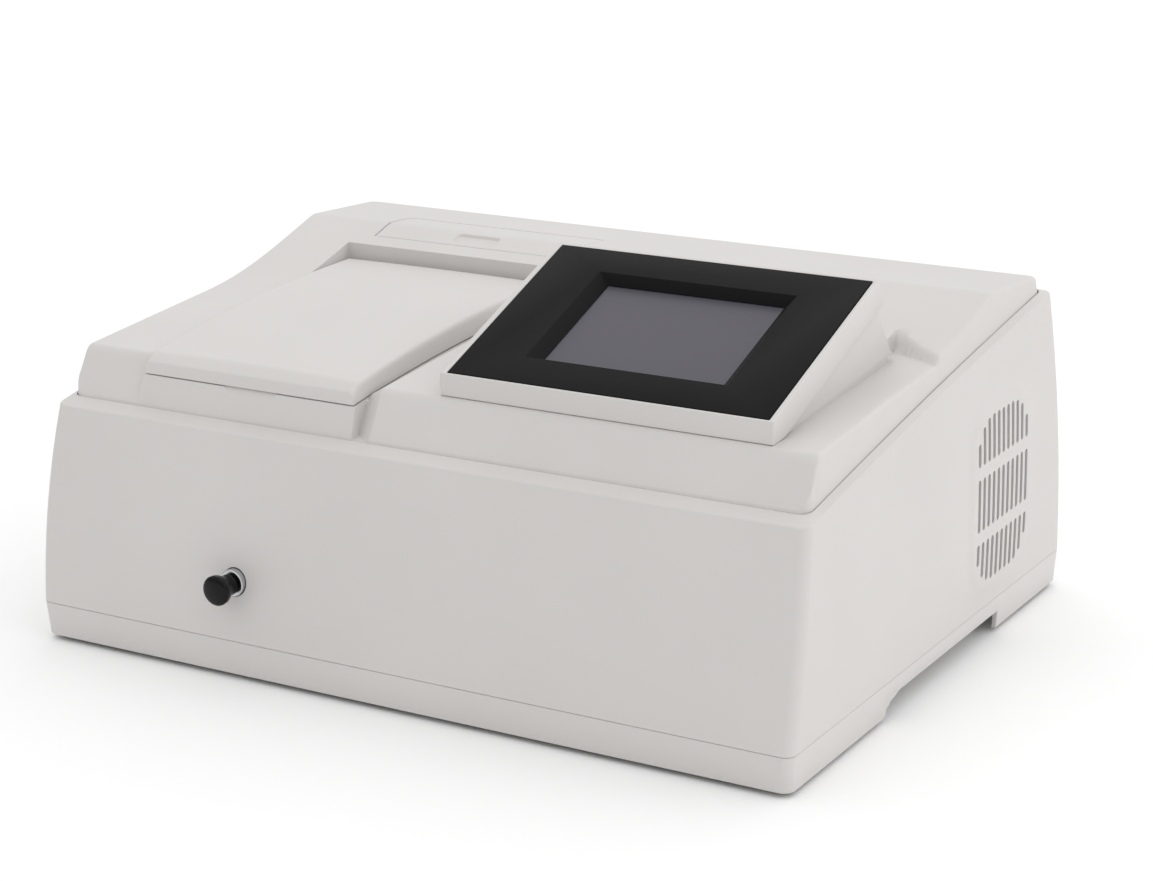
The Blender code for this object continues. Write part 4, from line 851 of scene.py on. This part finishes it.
def display():
    rise = math.tan(TILT)
    top_front = BEZEL_AT.z + (SLAB_FRONT - BEZEL_AT.y) * rise
    meet_y = -0.1340
    profile = [(SLAB_FRONT, top_front), (SLAB_FRONT, deck_z(SLAB_FRONT) + GAP),
               (meet_y, deck_z(meet_y) + GAP), slope_point(BEZEL_LENGTH + SLAB_MARGIN, -SLAB_THICK),
               slope_point(BEZEL_LENGTH + SLAB_MARGIN, 0.0)]
    slab = across("display_frame_slab", profile, SLAB_X)
    seat = on_slope(block("seat", grown(BEZEL_X, GAP), (-GAP, BEZEL_LENGTH + GAP),
                          (-BEZEL_DEPTH - GAP, 0.02)))
    well = on_slope(block("well", grown(LCD_X, 0.010), grown(LCD_U, 0.008), (-0.05, 0.02)))
    cut(slab, seat, well)
    soften(slab, 0.0007, 3, 30)
    settle(slab, "display_frame")
    bezel = block("display_bezel_panel", BEZEL_X, (0.0, BEZEL_LENGTH), (-BEZEL_DEPTH, GAP))
    cut(bezel, window_cutter())
    soften(bezel, 0.0004, 3, 20)
    settle(on_slope(bezel), "display_bezel")


def display_pedestal():
    """Wedge below the slab with a soft back and a fillet into the deck; its right foot meets the dish."""
    low_front = slope_point(0.0, -SLAB_THICK - GAP)
    back_top = slope_point(BEZEL_LENGTH - 0.001, -SLAB_THICK - GAP)
    rise = math.tan(TILT)
    sunk = 0.0004
    back_foot = (0.0105, deck_z(0.0105) - sunk)
    profile = [(y, deck_z(y) - sunk) for y in steps(-0.1310, back_foot[0] + 0.006, 12)]
    profile += [(back_foot[0] + 0.0020, back_foot[1] + 0.0028),
                (back_foot[0] - 0.0010, back_foot[1] + 0.0085), back_top]
    profile += [(-0.1310, low_front[1] + (-0.1310 - low_front[0]) * rise)]
    piece = across("display_pedestal_wedge", profile, PEDESTAL_X)
    skirt_profile = [(y, dish_z(PEDESTAL_X[1], y) - sunk) for y in steps(-0.1300, back_foot[0], 8)]
    skirt_profile += [back_top, (-0.1300, low_front[1] + (-0.1300 - low_front[0]) * rise - 0.0001)]
    cut(piece, across("right_foot", skirt_profile, (0.2155, PEDESTAL_X[1] - 0.00002)), operation="UNION")
    soften(piece, 0.0008, 3, 35)
    settle(piece, "display_pedestal")


# ================================================================ knob, rod, feet
def cell_changer_knob():
    """Domed knob with a waist and a collar, its polished bush and the ground rod."""
    profile = [(0, 0)] + arc((0.0, 0.0300), 0.0300, -90, -74, 5)[1:]
    profile += arc((0.0080, 0.0028), 0.0015, -60, 30, 5)
    profile += [(0.0093, 0.0052), (0.0086, 0.0068), (0.0068, 0.0086), (0.0060, 0.0100), (0.0059, 0.0116)]
    profile += [(0.0061, 0.0140)] + arc((0.0060, 0.0150), 0.0006, -30, 90, 4)
    profile += [(0.0033, 0.0158), (0.0033, 0.0062), (0, 0.0062)]
    settle(turned("changer_knob_turned", profile, (KNOB_X, KNOB_FRONT, KNOB_Z)), "changer_knob", angle=40)
    low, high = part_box("changer_rod")
    start, end = low.y - PLACE.y, high.y - PLACE.y
    rod = [(0, 0), (0.0026, 0), (0.0030, 0.0004), (0.0030, end - start - 0.0004),
           (0.0026, end - start), (0, end - start)]
    settle(turned("changer_rod_turned", rod, (KNOB_X, start, KNOB_Z), count=40), "changer_rod")
    low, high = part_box("rod_bush")
    start, length = low.y - PLACE.y, high.y - low.y
    bush = [(0.0034, 0), (0.0079, 0), (0.0085, 0.0006), (0.0085, length - 0.0005),
            (0.0080, length), (0.0034, length), (0.0034, 0)]
    settle(turned("rod_bush_turned", bush, (KNOB_X, start, KNOB_Z), count=56), "rod_bush")


def feet():
    """Moulded rubber feet, dished a little below so that the rim grips."""
    for side in ("left", "right"):
        for end in ("front", "rear"):
            node = "foot_" + end + "_" + side
            low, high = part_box(node)
            at = (low + high) / 2 - PLACE
            base = low.z - PLACE.z
            top = high.z - PLACE.z
            profile = [(0, base + 0.0005), (0.0058, base + 0.0005), (0.0066, base)]
            profile += arc((0.0085, base + 0.0008), 0.0008, -90, -10, 4)
            profile += [(0.0105, top - 0.0006), (0.0101, top), (0, top)]
            settle(turned(node + "_moulded", profile, (at.x, at.y, 0.0), "Z", 48), node, angle=40)


# ================================================================ all the other nodes
def plain_nodes():
    """The rest keep their frame shape, welded and with their edges broken as a maker would."""
    broken = {
        "power_inlet": 0.0005, "power_switch": 0.0004, "power_rocker": 0.0006, "serial_port": 0.0004,
        "connector_plate": 0.0002, "plate_screw_left": 0.0002, "plate_screw_right": 0.0002,
        "sample_chamber": 0.0004, "cell_rack": 0.0003, "rack_rail": 0.0004, "optical_bench": 0.0006,
        "monochromator_housing": 0.0003, "monochromator_cover": 0.0005, "lamp_house": 0.0003,
        "fan_frame": 0.0004, "fan_rotor": 0.0004, "detector_housing": 0.0003, "power_supply": 0.0003,
        "main_board": 0.0003, "grating_turret": 0.0002, "filter_wheel": 0.0002, "source_mirror": 0.0003,
    }
    shown = [n for n, o in frame["nodes"].items() if not o.hide_render]
    for node in sorted(shown):
        if node in broken:
            piece = soften(merged_copy(node), broken[node], 2, 35)
            settle(piece, node, angle=35)
            continue
        obj = frame["nodes"][node]
        obj.data.materials.clear()
        obj.data.materials.append(FINISHES[SLOT_OF[node]])


# ================================================================ room
def studio():
    """Pale floor, a room brighter behind and above than in front, soft lamps, and a camera."""
    scene = bpy.context.scene
    start_clean()
    bpy.ops.mesh.primitive_plane_add(size=40.0, location=(0.0, 0.0, -0.0002))
    floor = named("floor")
    mat, shader, place = surface("pale_matt_floor", 0.9)
    noise = add(mat, "ShaderNodeTexNoise", {"Vector": place}, Scale=2.0)
    tint(mat, shader, noise.outputs["Fac"], "#fafafa", "#fdfdfd")
    floor.data.materials.append(mat)

    world = scene.world or bpy.data.worlds.new("room")
    scene.world = world
    world.use_nodes = True
    back = world.node_tree.nodes["Background"]
    back.inputs["Color"].default_value = linear("#ffffff")
    links, nodes = world.node_tree.links, world.node_tree.nodes
    toward = nodes.new("ShaderNodeTexCoord")
    lean = nodes.new("ShaderNodeVectorMath")
    lean.operation = "DOT_PRODUCT"
    lean.inputs[1].default_value = (0.16, 0.18, 0.62)
    level = nodes.new("ShaderNodeMath")
    level.operation = "ADD"
    level.inputs[1].default_value = 0.66
    links.new(toward.outputs["Generated"], lean.inputs[0])
    links.new(lean.outputs["Value"], level.inputs[0])
    links.new(level.outputs["Value"], back.inputs["Strength"])
    target = Vector((0.0, 0.0, 0.11))
    for name, at, size, power in (("overhead", (-0.3, 0.2, 2.2), 1.6, 0.4),
                                  ("right_side", (2.4, 0.6, 0.9), 1.2, 3.0),
                                  ("front_left", (-1.6, -2.2, 1.2), 1.2, 0.3)):
        start_clean()
        bpy.ops.object.light_add(type="AREA", location=at)
        lamp = bpy.context.active_object
        lamp.name = name
        lamp.data.shape = "DISK"
        lamp.data.size = size
        lamp.data.energy = power
        lamp.rotation_mode = "QUATERNION"
        lamp.rotation_quaternion = (target - Vector(at)).to_track_quat("-Z", "Y")

    right = Vector((0.86226, 0.50628, -0.01404))
    up = Vector((-0.13574, 0.25771, 0.95665))
    behind = right.cross(up)
    start_clean()
    bpy.ops.object.camera_add()
    camera = bpy.context.active_object
    camera.name = "front_right_camera"
    camera.data.sensor_width = 36.0
    camera.data.lens = 87.22
    axes = Matrix((right, up, behind)).transposed().to_4x4()
    camera.matrix_world = Matrix.Translation((0.88145, -1.45653, 0.63478)) @ axes
    scene.camera = camera
    scene.view_settings.view_transform = "Standard"


studio()
main_casing()
base_tray()
top_cover()
sample_lid()
rear_hatch()
display()
display_pedestal()
cell_changer_knob()
feet()
plain_nodes()
